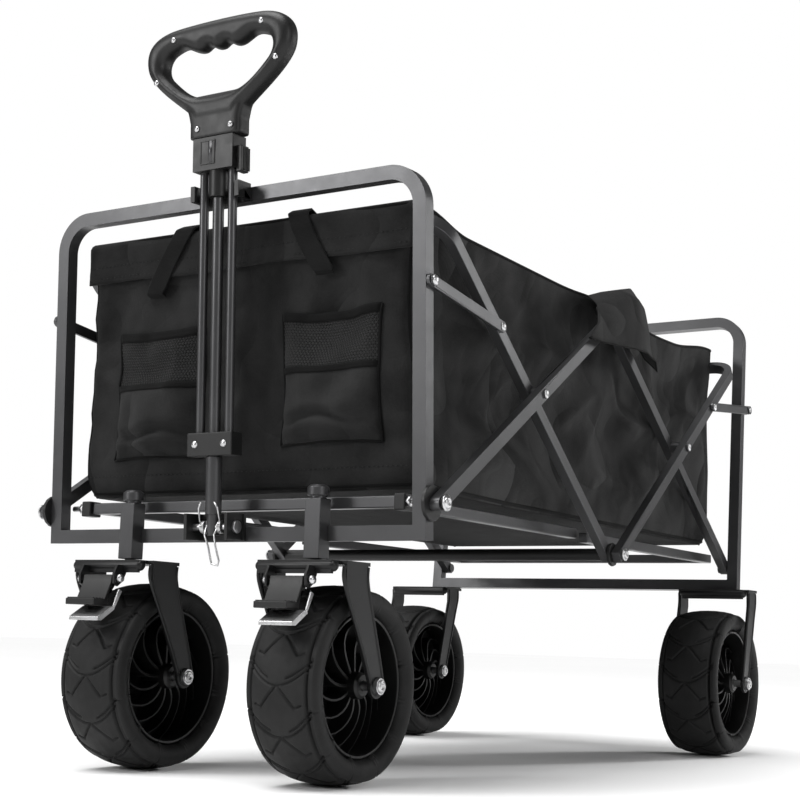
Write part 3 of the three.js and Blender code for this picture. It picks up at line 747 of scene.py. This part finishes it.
def bezier_spline(data, knots):
    """A closed spline from (point, handle before, handle after) knots in millimetres."""
    spline = data.splines.new("BEZIER")
    spline.bezier_points.add(len(knots) - 1)
    for target, (co, before, after) in zip(spline.bezier_points, knots):
        target.handle_left_type = target.handle_right_type = "FREE"
        target.co = (co[0] * MM, co[1] * MM, 0)
        target.handle_left = (before[0] * MM, before[1] * MM, 0)
        target.handle_right = (after[0] * MM, after[1] * MM, 0)
    spline.use_cyclic_u = True
    spline.resolution_u = 14


def grip_outline():
    h, b, t = GRIP_SIZE["half"], GRIP_SIZE["bottom"] + 18, GRIP_SIZE["top"]
    return [
        ((-22, b), (-27, b), (-8, b)),
        ((22, b), (8, b), (27, b)),
        ((34, b + 8), (31, b), (38, b + 18)),
        ((h, t - 44), (h - 4, b + 50), (h + 6, t - 14)),
        ((h - 42, t - 2), (h - 18, t - 4), (h - 70, t + 0.5)),
        ((-h + 42, t - 2), (-h + 70, t + 0.5), (-h + 18, t - 4)),
        ((-h, t - 44), (-h - 6, t - 14), (-h + 4, b + 50)),
        ((-34, b + 8), (-38, b + 18), (-31, b)),
    ]


def grip_gap():
    """The finger gap, whose upper edge has three finger bumps."""
    t = GRIP_SIZE["top"]
    knots = [
        ((66, t - 29), (79, t - 33), (58, t - 26)),
        ((47, t - 26), (53, t - 24.5), (41, t - 28)),
    ]
    for centre in (26, 0, -26):
        knots.append(((centre, t - 34), (centre + 7, t - 34), (centre - 7, t - 34)))
        if centre > -26:
            knots.append(((centre - 13, t - 29), (centre - 8, t - 29), (centre - 18, t - 29)))
    knots += [
        ((-47, t - 26), (-41, t - 28), (-53, t - 24.5)),
        ((-66, t - 29), (-58, t - 26), (-79, t - 33)),
        ((-69, t - 60), (-82, t - 49), (-54, t - 74)),
        ((-24, t - 88), (-42, t - 84), (-8, t - 90)),
        ((24, t - 88), (8, t - 90), (42, t - 84)),
        ((69, t - 60), (54, t - 74), (82, t - 49)),
    ]
    return knots


def heads(name, places, face, profile, segments):
    """Zinc heads at (x, z) places on a front face of the handle."""
    parts = [turned(profile, (x, face, z), "Y", segments, leaning) for x, z in places]
    piece(name, *gather(*parts), ZINC, "handle_upper", "zinc_steel")


def grip_loop():
    """The rounded loop as points and faces, from a bevelled curve."""
    data = bpy.data.curves.new("grip_outline", "CURVE")
    data.dimensions = "2D"
    data.fill_mode = "BOTH"
    bezier_spline(data, grip_outline())
    bezier_spline(data, grip_gap())
    data.offset = -GRIP_SIZE["round"] * MM
    data.extrude = (GRIP_SIZE["thick"] / 2 - GRIP_SIZE["round"]) * MM
    data.bevel_depth = GRIP_SIZE["round"] * MM
    data.bevel_resolution = 5
    flat = bpy.data.objects.new("grip_outline", data)
    bpy.context.scene.collection.objects.link(flat)
    bpy.context.view_layer.update()
    mesh = bpy.data.meshes.new_from_object(flat.evaluated_get(bpy.context.evaluated_depsgraph_get()))
    bpy.data.objects.remove(flat)
    points = [leaning(v.co.x / MM, HANDLE_Y + v.co.z / MM, v.co.y / MM) for v in mesh.vertices]
    return points, [tuple(p.vertices) for p in mesh.polygons]


def grip():
    made = piece("handle_loop_grip", *gather(grip_loop(), grip_neck()), GRIP, "handle_upper", "black_plastic")
    modifier(made, "REMESH", mode="VOXEL", voxel_size=0.0014, use_smooth_shade=True)
    modifier(made, "SMOOTH", factor=0.5, iterations=7)
    apply_modifiers(made)
    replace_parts(made, "handle_grip")
    screw = [(3.4, 1.2), (3.4, -0.3), (2.4, -1.2), (AXIS, -1.4)]
    heads("grip_screws", GRIP_SCREWS, HANDLE_Y - GRIP_SIZE["thick"] / 2, screw, 16)


def grip_neck():
    """The square neck below the loop: rings of a rounded rectangle that widen into the loop."""
    low, n = GRIP_SIZE["bottom"], GRIP_SIZE["neck"]
    rings = [(0, n - 1), (1, n), (18, n), (30, n + 3), (42, n + 9), (50, n + 10)]
    columns = 48
    deep = 13.0
    squareness = 0.28

    def point(u, v):
        rise, half = rings[round(u * (len(rings) - 1))]
        angle = v * 2 * math.pi
        c, s = math.cos(angle), math.sin(angle)
        x = half * math.copysign(abs(c) ** squareness, c)
        y = (deep - (rise > 35) * 2) * math.copysign(abs(s) ** squareness, s)
        return leaning(x, HANDLE_Y + y, low + rise)

    points, faces = grid(len(rings) - 1, columns, point, closed=True)
    last = (len(rings) - 1) * columns
    return points, faces + [tuple(range(columns)), tuple(range(last, last + columns))]


def collar_trim():
    """Thin near-black plates as painted shade in the collar's window and the lever's slot, with the latch bar
    in the window.
    """
    face = HANDLE_Y - 12.5
    # thin near-black plates: painted shade inside the window and the slot
    shade_plates = [block(-15.5, 2.2, face - 0.25, face + 0.5, 679, 704, leaning),
                block(27.5, 28.25, HANDLE_Y - 10.5, HANDLE_Y - 3, 680, 705, leaning)]
    piece("collar_recess_shade", *gather(*shade_plates), RIM, "handle_lower", "black_plastic", smooth=False)
    edges = ((-17, 3.7, 704, 705.5), (-17, 3.7, 677.5, 679), (-17, -15.5, 679, 704), (2.2, 3.7, 679, 704))
    frames = [block(x0, x1, face - 0.9, face + 0.5, z0, z1, leaning) for x0, x1, z0, z1 in edges]
    eased(piece("collar_window", *gather(*frames), PLASTIC, "handle_lower", "black_plastic"), 0.5, 2)
    profile = [(AXIS, 679.5), (4.2, 679.5), (4.2, 703.5), (AXIS, 703.5)]
    bar = turned(profile, (-3, face + 2.6, 0), "Z", 20, leaning)
    piece("latch_bar", *bar, STEEL, "handle_lower", "frame_steel")


def handle_details():
    rivet = [(4.2, 0.4), (4.2, -0.6), (3, -1.8), (AXIS, -2.1)]
    heads("clamp_rivets", CLAMP_RIVETS, HANDLE_Y - 10, rivet, 18)
    # ribs on the collar's lever
    starts = [HANDLE_Y - 5.4 + 2.5 * n for n in range(6)]
    ribs = [block(35.6, 37.2, y, y + 1.5, 668, 694, leaning) for y in starts]
    eased(piece("lever_ribs", *gather(*ribs), PLASTIC, "handle_button", "black_plastic"), 0.4, 2)
    collar_trim()


def spring():
    """A double-torsion wire spring on the handle's pin, with its loop hanging below the rail."""
    wire = 1.1
    loop = [(-4.6, -27, 262), (1.5, -28, 250), (5, -28, 236), (6.5, -28, 231), (15, -28, 229),
            (16.5, -28, 234), (11.5, -28, 250), (8.6, -27, 262)]
    coils = []
    for side in (-1, 1):
        leg = [(side * 9, -28.5, 298), (side * 13, -27.5, 292), (side * 14, -24, 277)]
        turns = []
        for n in range(49):
            angle = 2 * math.pi * n / 16 + math.pi / 2
            y, z = HANDLE_Y + 6.2 * math.cos(angle), 271 + 6.2 * math.sin(angle)
            turns.append((side * (14 - 1.8 * n / 16), y, z))
        coils.append(leg + turns)
    left, right = coils
    routes = [left, [left[-1]] + loop + [right[-1]], right[::-1]]
    parts = [tube([leaning(*p) for p in route], wire, 8) for route in routes]
    made = piece("wire_spring", *gather(*parts), ZINC, None, "zinc_steel")
    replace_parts(made, "handle_spring")
    start, end = (leaning(0, HANDLE_Y, z) for z in (264, 280))
    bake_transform(made)


# ---- bag ----
BAG = {"half": 229.0, "front": 22.0, "rear": 929.0, "floor": 313.0, "corner": 16.0, "thick": 1.6}
PANEL = (236.0, 454.0)  # half width and half length that the cloth's folds and corners are measured by
FRONT_RIM = 619.0
REAR_RIM = 622.0
HUB_Y = 473.0


def hump(value, centre, spread):
    """A smooth hump, 1 at its centre."""
    return math.exp(-((value - centre) / spread) ** 2)


def rim_height(px, y):
    """The top edge's height: high over the end frames, lower along the sides."""
    side = smoothstep(0.86, 1.0, abs(px))
    front = smoothstep(120, 20, y)
    along = 603 + 15 * front + 5 * hump(y, HUB_Y, 60) - 5 * hump(y, 680, 110) + 16 * smoothstep(760, 915, y)
    end = FRONT_RIM if y < 450 else REAR_RIM
    return end + (along - end) * side


def wrinkle(x, y, z, scale, seed):
    return noise.noise(Vector((x / scale + seed, y / scale, z / scale + seed * 0.7)))


def creased(x, y, z, scale, seed):
    """Noise with soft valleys and sharper ridges, as cloth folds."""
    return 0.6 - 2 * abs(wrinkle(x, y, z, scale, seed)) ** 0.8


def sewn(name, mesh, material):
    """A cloth piece from (points, faces), which rides on the front frame as the bag does."""
    return piece(name, *mesh, material, "front_frame", "bag_cloth")


def side_slack(px, y, z):
    """How far the long walls' folds stand out, fading out at the bag's ends."""
    across = px * 40
    folds = 19 * creased(across, y * 0.8 + z * 0.5, z - y * 0.4, 140, 3.1)
    folds += 7 * creased(across, y * 0.9 - z * 0.6, z * 0.7, 85, 6.2)
    folds *= (1 - 0.8 * smoothstep(840, 925, y)) * (1 - 0.75 * smoothstep(140, 30, y))
    pull = 3.4 * math.sin((y * 0.8 + z * 0.9) / 42 + 1.4 * wrinkle(0, y, z, 150, 5)) * hump(y, 130, 110)
    pull += 3.0 * math.sin((y * 0.9 - z) / 40) * hump(y, 760, 120)
    return folds + pull - 3


def front_slack(px, z, t):
    """How far the front wall ripples and sags outward."""
    x = px * PANEL[0]
    ripple = 7 * wrinkle(x, 0, z * 0.45, 62, 1.7) + 3.5 * wrinkle(x, 0, z, 30, 4.4)
    ripple += 6 * creased(x, 3, z * 0.8 + px * 60, 95, 8.2)
    return ripple + 3.5 * math.sin(math.pi * t) * (0.5 + 0.5 * math.cos(px * math.pi * 2))


def wall_point(px, py, t):
    """A point of the bag's wall. px and py run round a unit square, t from the floor to the rim."""
    y = BAG["front"] + (BAG["rear"] - BAG["front"]) * (py + 1) / 2
    z = BAG["floor"] + (rim_height(px, y) - BAG["floor"]) * t
    front = smoothstep(-0.9, -1.0, py)
    rear = smoothstep(0.9, 1.0, py)
    side = smoothstep(0.9, 1.0, abs(px))
    # the foot of each wall tucks in under the floor board
    tuck = 14 * math.exp(-t * 22)
    flare = 10 * smoothstep(0.7, 0.05, t) * smoothstep(300, 20, y)
    slack = math.sin(math.pi * min(t * 1.02, 1.0)) ** 0.8
    half = BAG["half"] - tuck * 0.6 + flare + slack * side_slack(px, y, z) * side
    half += 4.5 * smoothstep(0.75, 1.0, t) * side
    # the walls stay clear of the arms
    half = min(half, 238.5 + 6 * smoothstep(330, 200, y))
    y -= front * (9 * smoothstep(0.25, 1.0, t) + slack * front_slack(px, z, t) + 1.5 * math.sin(px * 9))
    y += front * tuck
    y += rear * (slack * (6 + 4 * wrinkle(px * PANEL[0], 3, z, 90, 7.7)) - tuck + 2.5 * smoothstep(0.6, 1, t))
    return half * px, y, z


def bag_round(steps_x, steps_y):
    """(px, py) points round the walls, finer near the corners."""
    def eased_line(n):
        return [math.sin((i / n - 0.5) * math.pi) * 0.5 + (i / n - 0.5) for i in range(n)]

    across, along = eased_line(steps_x), eased_line(steps_y)
    ring = [(v, -1.0) for v in across] + [(1.0, v) for v in along]
    ring += [(-v, 1.0) for v in across] + [(-1.0, -v) for v in along]
    return [rounded(*p) for p in ring]


def rounded(px, py):
    """Rounds the square's corners a little, the same length in x and y."""
    rx, ry = (BAG["corner"] / length for length in PANEL)
    ax, ay = abs(px), abs(py)
    if ax > 1 - rx and ay > 1 - ry:
        u, v = (ax - 1 + rx) / rx, (ay - 1 + ry) / ry
        size = math.hypot(u, v)
        if size > 1e-6:
            # the square's edge brought onto the quarter circle
            reach = max(u, v)
            u, v = u / size * reach, v / size * reach
            ax, ay = 1 - rx + u * rx, 1 - ry + v * ry
    return math.copysign(ax, px), math.copysign(ay, py)


def bag_floor(ring, base, start):
    """The floor's points and faces inside the foot's ring: it closes in rings that sag a little."""
    count = len(ring)
    middle = (BAG["front"] + BAG["rear"]) / 2
    points, faces = [], []
    for shrink in (0.97, 0.9, 0.75, 0.55, 0.3):
        inner = list(range(start + len(points), start + len(points) + count))
        for px, py in ring:
            x, y, _ = wall_point(px * 0.999, py, 0)
            z = BAG["floor"] + 0.3 + 0.8 * wrinkle(x, y, 0, 80, 2)
            points.append(at(x * shrink, middle + (y - middle) * shrink, z))
        faces += [(base[c], inner[c], inner[(c + 1) % count], base[(c + 1) % count]) for c in range(count)]
        base = inner
    return points, faces + [tuple(reversed(base))]


def bag_shell():
    ring = bag_round(88, 168)
    rows = 56
    count = len(ring)
    points = [at(*wall_point(px, py, r / rows)) for r in range(rows + 1) for px, py in ring]
    faces = lattice(rows + 1, count, closed=True)
    floor_points, floor_faces = bag_floor(ring, list(range(count)), len(points))
    bag = sewn("cloth_bag", (points + floor_points, faces + floor_faces), CLOTH)
    modifier(bag, "SOLIDIFY", thickness=BAG["thick"] * MM, offset=0)
    apply_modifiers(bag)
    # the floor and the other level faces take the near-black tape cloth: painted shade for the floor's
    # underside
    bag.data.materials.append(CLOTH_DARK)
    for polygon in bag.data.polygons:
        if abs(polygon.normal.z) > 0.8:
            polygon.material_index = 1
    return bag


def panel_face(x, z, proud):
    """A point just in front of the bag's front wall."""
    t = (z - BAG["floor"]) / (FRONT_RIM - BAG["floor"])
    _, y, _ = wall_point(x / BAG["half"], -1.0, min(max(t, 0), 1))
    return at(x, y - proud, z)


def thicken(made, thickness):
    """Gives a sheet its thickness, half on each side of the drawn face."""
    modifier(made, "SOLIDIFY", thickness=thickness * MM, offset=0.0)
    apply_modifiers(made)


def hem_sway(x, drop):
    return 1.5 * wrinkle(x, 0, drop, 55, 12.3)


def front_hem():
    """The rim's turned-over band on the outside of the front, which hooks over the U-frame's tube."""
    rows, columns = 16, 96
    whole, hook = 74, 26  # millimetres of drop: all of it, and the part that turns over the tube

    def point(u, v):
        x = (234 - 5 * smoothstep(0.3, 1, u)) * (2 * v - 1)
        drop = u * whole
        edge = 1.2 * math.sin(x / 23) * smoothstep(50, whole, drop)
        if drop < hook:
            turn = drop / hook * math.pi
            return at(x, 24.5 + 13 * math.cos(turn), FRONT_RIM - 2 + 7 * math.sin(turn))
        y = 10 - hem_sway(x, drop) - edge - 3.5 * smoothstep(0.5, 1, u)
        return at(x, y, FRONT_RIM - 2 - (drop - hook) + 1.2 * math.sin(x / 37))

    hem = sewn("front_hem", grid(rows, columns, point), CLOTH)
    thicken(hem, 1.8)


def stitches(name, rows):
    """Short raised threads along lists of points in metres."""
    parts = []
    for line in rows:
        for start, end in zip(line[::2], line[1::2]):
            parts.append(tube([start, start.lerp(end, 0.5), end], 0.45, 5))
    sewn(name, gather(*parts), THREAD)


def hem_stitching():
    """Two rows along the hem, and one low on the front wall."""
    places = [-226 + 452 * i / 150 for i in range(150)]
    lines = []
    for drop in (27, 42):
        line = []
        for x in places:
            y = 8.9 - hem_sway(x, drop + 26) - 3.5 * smoothstep(0.5, 1, (drop + 26) / 74)
            line.append(at(x, y, FRONT_RIM - 2 - drop + 1.2 * math.sin(x / 37)))
        lines.append(line)
    lines.append([panel_face(x, 336, 1.2) for x in places])
    stitches("bag_stitching", lines)


def binding():
    """Tape sewn over the bag's upright edges and round its foot and rim."""
    parts = []
    for px in (-1, 1):
        for py in (-1, 1):
            corner = rounded(px * 0.998, py * 0.998)
            parts.append(tube([at(*wall_point(*corner, t / 24)) for t in range(25)], 2.6, 8))
    ring = bag_round(40, 70)
    for t, radius in ((0.012, 2.4), (1.0, 2.2)):
        parts.append(tube([at(*wall_point(px, py, t)) for px, py in ring], radius, 8, closed=True))
    sewn("edge_binding", gather(*parts), CLOTH_DARK)


# ---- pockets ----
POCKETS = {"left": (-184, -52, 354, 506), "right": (60, 193, 362, 510)}
NET_SHARE = 0.44


def pocket_depth(u, v, side):
    """How far a pocket stands off the panel, u down from its top and v across."""
    belly = math.sin(math.pi * min(v, 1)) ** 0.6
    slack = 5 + 22 * smoothstep(0.25, 0.8, u) - 24 * smoothstep(0.88, 1.0, u)
    pleat = 12 * hump(u, 0.82 + 0.03 * math.sin(v * 9 + side), 0.04)
    crease = 7 * wrinkle(u * 150, side * 40, v * 120, 34, 21) - pleat
    return belly * (slack + crease) + 1.5


def pocket_point(side, u, v):
    x0, x1, z0, z1 = POCKETS["left" if side < 0 else "right"]
    middle = (x0 + x1) / 2
    narrowing = 1 - 0.05 * math.sin(math.pi * u)
    x = middle + (x0 + (x1 - x0) * v - middle) * narrowing
    z = z1 - (z1 - z0) * u + math.sin(math.pi * v) * (3 * u - 4.8 * (1 - u))
    return panel_face(x, z, pocket_depth(u, v, side))


def net_mesh(side):
    """The upper part of a pocket as triangles, whose edges become the net's strands."""
    columns, rows = 34, 18
    points, faces = [], []
    for r in range(rows + 1):
        for c in range(columns + 1):
            v = min((c + r % 2 / 2) / columns, 1.0)
            points.append(pocket_point(side, 0.05 + (NET_SHARE - 0.05) * r / rows, v))
    for r in range(rows):
        for c in range(columns):
            a = r * (columns + 1) + c
            b, d, e = a + 1, a + columns + 1, a + columns + 2
            faces += [(a, b, e), (a, e, d)] if r % 2 else [(a, b, d), (b, e, d)]
    return points, faces


def pocket(name, side):
    def proud(u, v, distance):
        return pocket_point(side, u, v) + Vector((0, -distance * MM, 0))

    def band(u0, u1, distance):
        return grid(3, 26, lambda u, v: proud(u0 + (u1 - u0) * u, v, distance))

    pouch = grid(18, 26, lambda u, v: pocket_point(side, NET_SHARE + (1 - NET_SHARE) * u, v))
    solid = sewn(f"pocket_{name}_cloth", pouch, CLOTH)
    thicken(solid, 1.3)
    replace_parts(solid, f"pocket_{name}")
    net = sewn(f"pocket_{name}_net", net_mesh(side), NET)
    modifier(net, "WIREFRAME", thickness=0.8 * MM)
    apply_modifiers(net)
    trim = gather(band(-0.01, 0.06, 0.9), band(NET_SHARE - 0.025, NET_SHARE + 0.025, 1.0))
    tape = sewn(f"pocket_{name}_tape", trim, CLOTH_DARK)
    thicken(tape, 1.6)
    routes = [[proud(n / 20, v, 0.6) for n in range(21)] for v in (0.0, 1.0)]
    routes.append([proud(1.0, n / 20, 0) for n in range(21)])
    edge = sewn(f"pocket_{name}_edge", gather(*(tube(route, 1.7, 8) for route in routes)), CLOTH_DARK)


# ---- straps and hub hoods ----
def strap(name, top_x, low_x, low_z):
    """A webbing loop over the front rim: down the outside, slanting outwards, and a short tail inside."""
    width = 24.0
    drift = low_x - top_x
    route = [(top_x - drift * 0.05, 46, 585), (top_x, 43, 612), (top_x, 34, 628), (top_x, 22, 632),
             (top_x + drift * 0.05, 10, 625), (top_x + drift * 0.25, 5, 606), (top_x + drift * 0.6, 3.5, 580),
             (low_x, 4.5, low_z), (low_x * 0.99, 9.5, low_z - 3)]

    def point(u, v):
        place = u * (len(route) - 1)
        i = min(int(place), len(route) - 2)
        x, y, z = Vector(route[i]).lerp(Vector(route[i + 1]), place - i)
        return at(x + (v - 0.5) * width * (1.15 if 3 < place < 7 else 1.0), y, z)

    band = sewn(name, grid(48, 8, point), WEBBING)
    modifier(band, "SUBSURF", levels=1)
    thicken(band, 1.8)


# The hood's lines across, each as (y, x, z) from its front end to its rear end: along the rim, over
# the hub, over the arms' outer faces, and the loose lower edge.
HOOD_LINES = [
    [(425, 238, 600), (450, 239, 604), (475, 240, 607), (505, 241, 612),
     (528, 242, 618), (545, 241, 610), (562, 238, 598)],
    [(418, 247, 600), (445, 254, 610), (473, 258, 618), (503, 261, 626),
     (527, 262, 633), (543, 252, 607), (564, 243, 588)],
    [(400, 268, 583), (432, 277, 596), (468, 284, 607), (500, 285, 609),
     (524, 283, 601), (545, 268, 580), (568, 252, 564)],
    [(372, 283, 553), (405, 289, 560), (445, 293, 568), (487, 294, 570),
     (520, 292, 564), (548, 280, 552), (572, 264, 542)],
    [(340, 285, 526), (372, 289, 527), (415, 292, 531), (465, 294, 536),
     (510, 294, 537), (550, 289, 534), (578, 280, 526)],
]


def hood_point(side, u, v):
    down = u * (len(HOOD_LINES) - 1)
    row = min(int(down), len(HOOD_LINES) - 2)
    across = v * (len(HOOD_LINES[0]) - 1)
    column = min(int(across), len(HOOD_LINES[0]) - 2)
    upper, lower = (Vector(line[column]).lerp(Vector(line[column + 1]), across - column)
                    for line in HOOD_LINES[row:row + 2])
    share = down - row
    y, x, z = upper.lerp(lower, 0.3 * smoothstep(0, 1, share) + 0.7 * share)
    x += 2.0 * wrinkle(x, y, z, 40, 31) * u
    z += 2.0 * wrinkle(x, y, z, 34, 35) * u
    return at(side * x, y, z)


def hub_hood(name, side):
    """The cloth hood over the top middle pivot: it spreads outward from the rim over the arms' ends,
    with a pointed peak behind the pivot and a loose lower edge."""
    form = grid(20, 30, lambda u, v: hood_point(side, u, v))
    hood = sewn(f"hub_hood_{name}", form, CLOTH)
    modifier(hood, "SMOOTH", factor=0.5, iterations=2)
    thicken(hood, 1.5)
    edges = [tube([hood_point(side, 1, v / 30) for v in range(31)], 1.3, 6),
             tube([hood_point(side, u / 20, 1) for u in range(21)], 1.3, 6)]
    hem = sewn(f"hub_hood_hem_{name}", gather(*edges), CLOTH_DARK)


# ---- forks and brakes ----
def rounded_bar(x0, x1, y, z, radius):
    """A bar along X with domed ends."""
    dome = [(AXIS, 0), (radius * 0.6, 0.12 * radius), (radius * 0.9, 0.5 * radius), (radius, radius)]
    profile = dome + [(r, x1 - x0 - a) for r, a in reversed(dome)]
    return turned(profile, (x0, y, z), "X", 20)


def fork_trim(name, body, centre, axle_y, arm, plate, front):
    """Turned-out edges on a fork's arms, bosses at the axle, and the rounded front lip."""
    edge, foot_round = 2.1, 11.6
    parts = []
    for side in (-1, 1):
        x = centre + side * 54.2
        for top_y, low_y in ((arm[0] + 1.6, axle_y - foot_round), (arm[1] - 1.6, axle_y + foot_round)):
            route = [(x, top_y, plate - 5), (x, top_y, plate - 20), (x, (top_y * 3 + low_y) / 4, plate - 47),
                     (x, (top_y + 3 * low_y) / 4, WHEEL_RADIUS + 32), (x, low_y, WHEEL_RADIUS + 4)]
            parts.append(tube([at(*p) for p in smoothed(route)], edge, 8))
        bottom = [at(x, axle_y + foot_round * math.cos(a), WHEEL_RADIUS + 3 - foot_round * math.sin(a))
                  for a in np.linspace(0, math.pi, 12)]
        parts.append(tube(bottom, edge, 8))
        boss = [(AXIS, 0), (10, 0), (10, side * 1.4), (8, side * 2.2), (6.5, side * 2.2), (6.5, 0)]
        parts.append(turned(boss, (centre + side * 54.6, axle_y, WHEEL_RADIUS), "X", 24))
    parts.append(rounded_bar(centre - 51, centre + 51, front + 5, plate - 6.2, 6.2))
    piece(f"{name}_trim", *gather(*parts), FORK, body, "fork_steel")


def smoothed(route, steps=5):
    """A denser route through the same corners, eased between them."""
    out = []
    for i in range(len(route) - 1):
        a, b, c, d = (Vector(route[max(min(i + k, len(route) - 1), 0)]) for k in (-1, 0, 1, 2))
        for n in range(steps):
            t = n / steps
            bend = (2 * a - 5 * b + 4 * c - d) * t * t + (3 * b - a - 3 * c + d) * t ** 3
            out.append(0.5 * (2 * b + (c - a) * t + bend))
    return out + [Vector(route[-1])]


BRAKE_PIN = (-52.0, 212.0)


def prism(outline, x0, x1):
    """A form between two X values from (y, z) corners."""
    count = len(outline)
    points = [at(x, y, z) for x in (x0, x1) for y, z in outline]
    return points, lattice(2, count, closed=True) + [tuple(range(count)), tuple(range(count, 2 * count))]


def brake_ears(name, centre):
    """Ears that carry the pedal, and its bolt."""
    y, z = BRAKE_PIN
    outline = [(y + 12, z + 15), (y - 3, z + 15), (y - 8, z + 5), (y - 7, z - 6), (y - 1, z - 9),
               (y + 6, z - 4), (y + 12, z + 6)]
    ears = [prism(outline, centre + x - 1.6, centre + x + 1.6) for x in (-25, 25)]
    eased(piece(f"brake_ears_{name}", *gather(*ears), FORK, f"caster_{name}", "fork_steel"), 0.6, 2)
    forms = [([(AXIS, 27), (4.6, 27), (4.9, 29), (3.8, 31.5), (AXIS, 32)], 18),
             ([(AXIS, -29), (2.4, -29), (2.4, 28), (AXIS, 28)], 12),
             ([(AXIS, -32), (4.4, -31.5), (4.6, -27), (AXIS, -27)], 6)]
    bolt = [turned(profile, (centre, y, z), "X", segments) for profile, segments in forms]
    piece(f"brake_bolt_{name}", *gather(*bolt), ZINC, f"caster_{name}", "zinc_steel")


def brake_trim(name, centre):
    """Tread bars on the pedal's ledge, its face plate, and the release plate's bent legs."""
    y, z = BRAKE_PIN
    starts = [y - 31.5 + n * 5 for n in range(4)]
    face = [block(centre - 19, centre + 19, start, start + 2.5, z - 23.4, z - 21.8) for start in starts]
    plate = [(y - 8.6, z - 20.5), (y - 6.2, z - 19.5), (y + 3.4, z - 4.4), (y + 1.8, z - 3.2)]
    face.append(prism(plate, centre - 14, centre + 14))
    eased(piece(f"pedal_tread_{name}", *gather(*face), PLASTIC, f"brake_{name}", "black_plastic"), 0.5, 2)
    outline = [(y - 8, z - 34), (y - 10, z - 31), (y - 2, z - 12), (y + 3, z - 14), (y - 3, z - 25)]
    legs = [prism(outline, centre + x - 0.8, centre + x + 0.8) for x in (-9, 29)]
    eased(piece(f"release_legs_{name}", *gather(*legs), ZINC, f"release_{name}", "zinc_steel"), 0.3, 2)


def axle_heads(axle, body):
    """Domed heads with a socket on both ends of an axle."""
    low, high = (Vector(corner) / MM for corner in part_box(axle))
    centre = (low + high) / 2
    profile = [(AXIS, 0), (7, 0), (7, 0.8), (6.2, 1.9), (3.6, 2.3), (3.1, 2.0), (3.1, 0.5), (AXIS, 0.5)]
    parts = []
    for side, face in ((-1, low.x), (1, high.x)):
        outward = [(radius, side * out) for radius, out in profile]
        parts.append(turned(outward, (face, *centre.yz), "X", 24, lambda *p: Vector(p) * MM))
    piece(f"{axle}_heads", *gather(*parts), ZINC, body, "zinc_steel")


def fork_details():
    for name, side in SIDES:
        low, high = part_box(f"caster_fork_{name}")
        centre = (low[0] + high[0]) / 2 / MM
        fork_trim(f"caster_fork_{name}", f"caster_{name}", centre, 37, (-33, 15), 233, -45)
        brake_ears(name, centre)
        brake_trim(name, centre)
        axle_heads(f"caster_axle_{name}", f"caster_{name}")
        fork_trim(f"rear_fork_{name}", "rear_end", side * 255.5, 851, (868, 900), 242, 862)
        axle_heads(f"rear_axle_{name}", "rear_end")


def soft_goods():
    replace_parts(bag_shell(), "bag_front", "bag_rear", "bag_left", "bag_right", "bag_floor")
    front_hem()
    binding()
    hem_stitching()
    for name, side in SIDES:
        pocket(name, side)
        hub_hood(name, side)
    strap("strap_right", 74, 118, 553)
    strap("strap_left", -84, -123, 549)
    cloth = [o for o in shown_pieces() if o.get("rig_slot") == "bag_cloth" and "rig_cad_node" not in o]
    for made in cloth:
        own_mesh(made)


make_camera()
studio()
dress_frame()
wheel_pieces()
grip()
handle_details()
spring()
soft_goods()
fasteners()
floor_pivots()
fork_details()
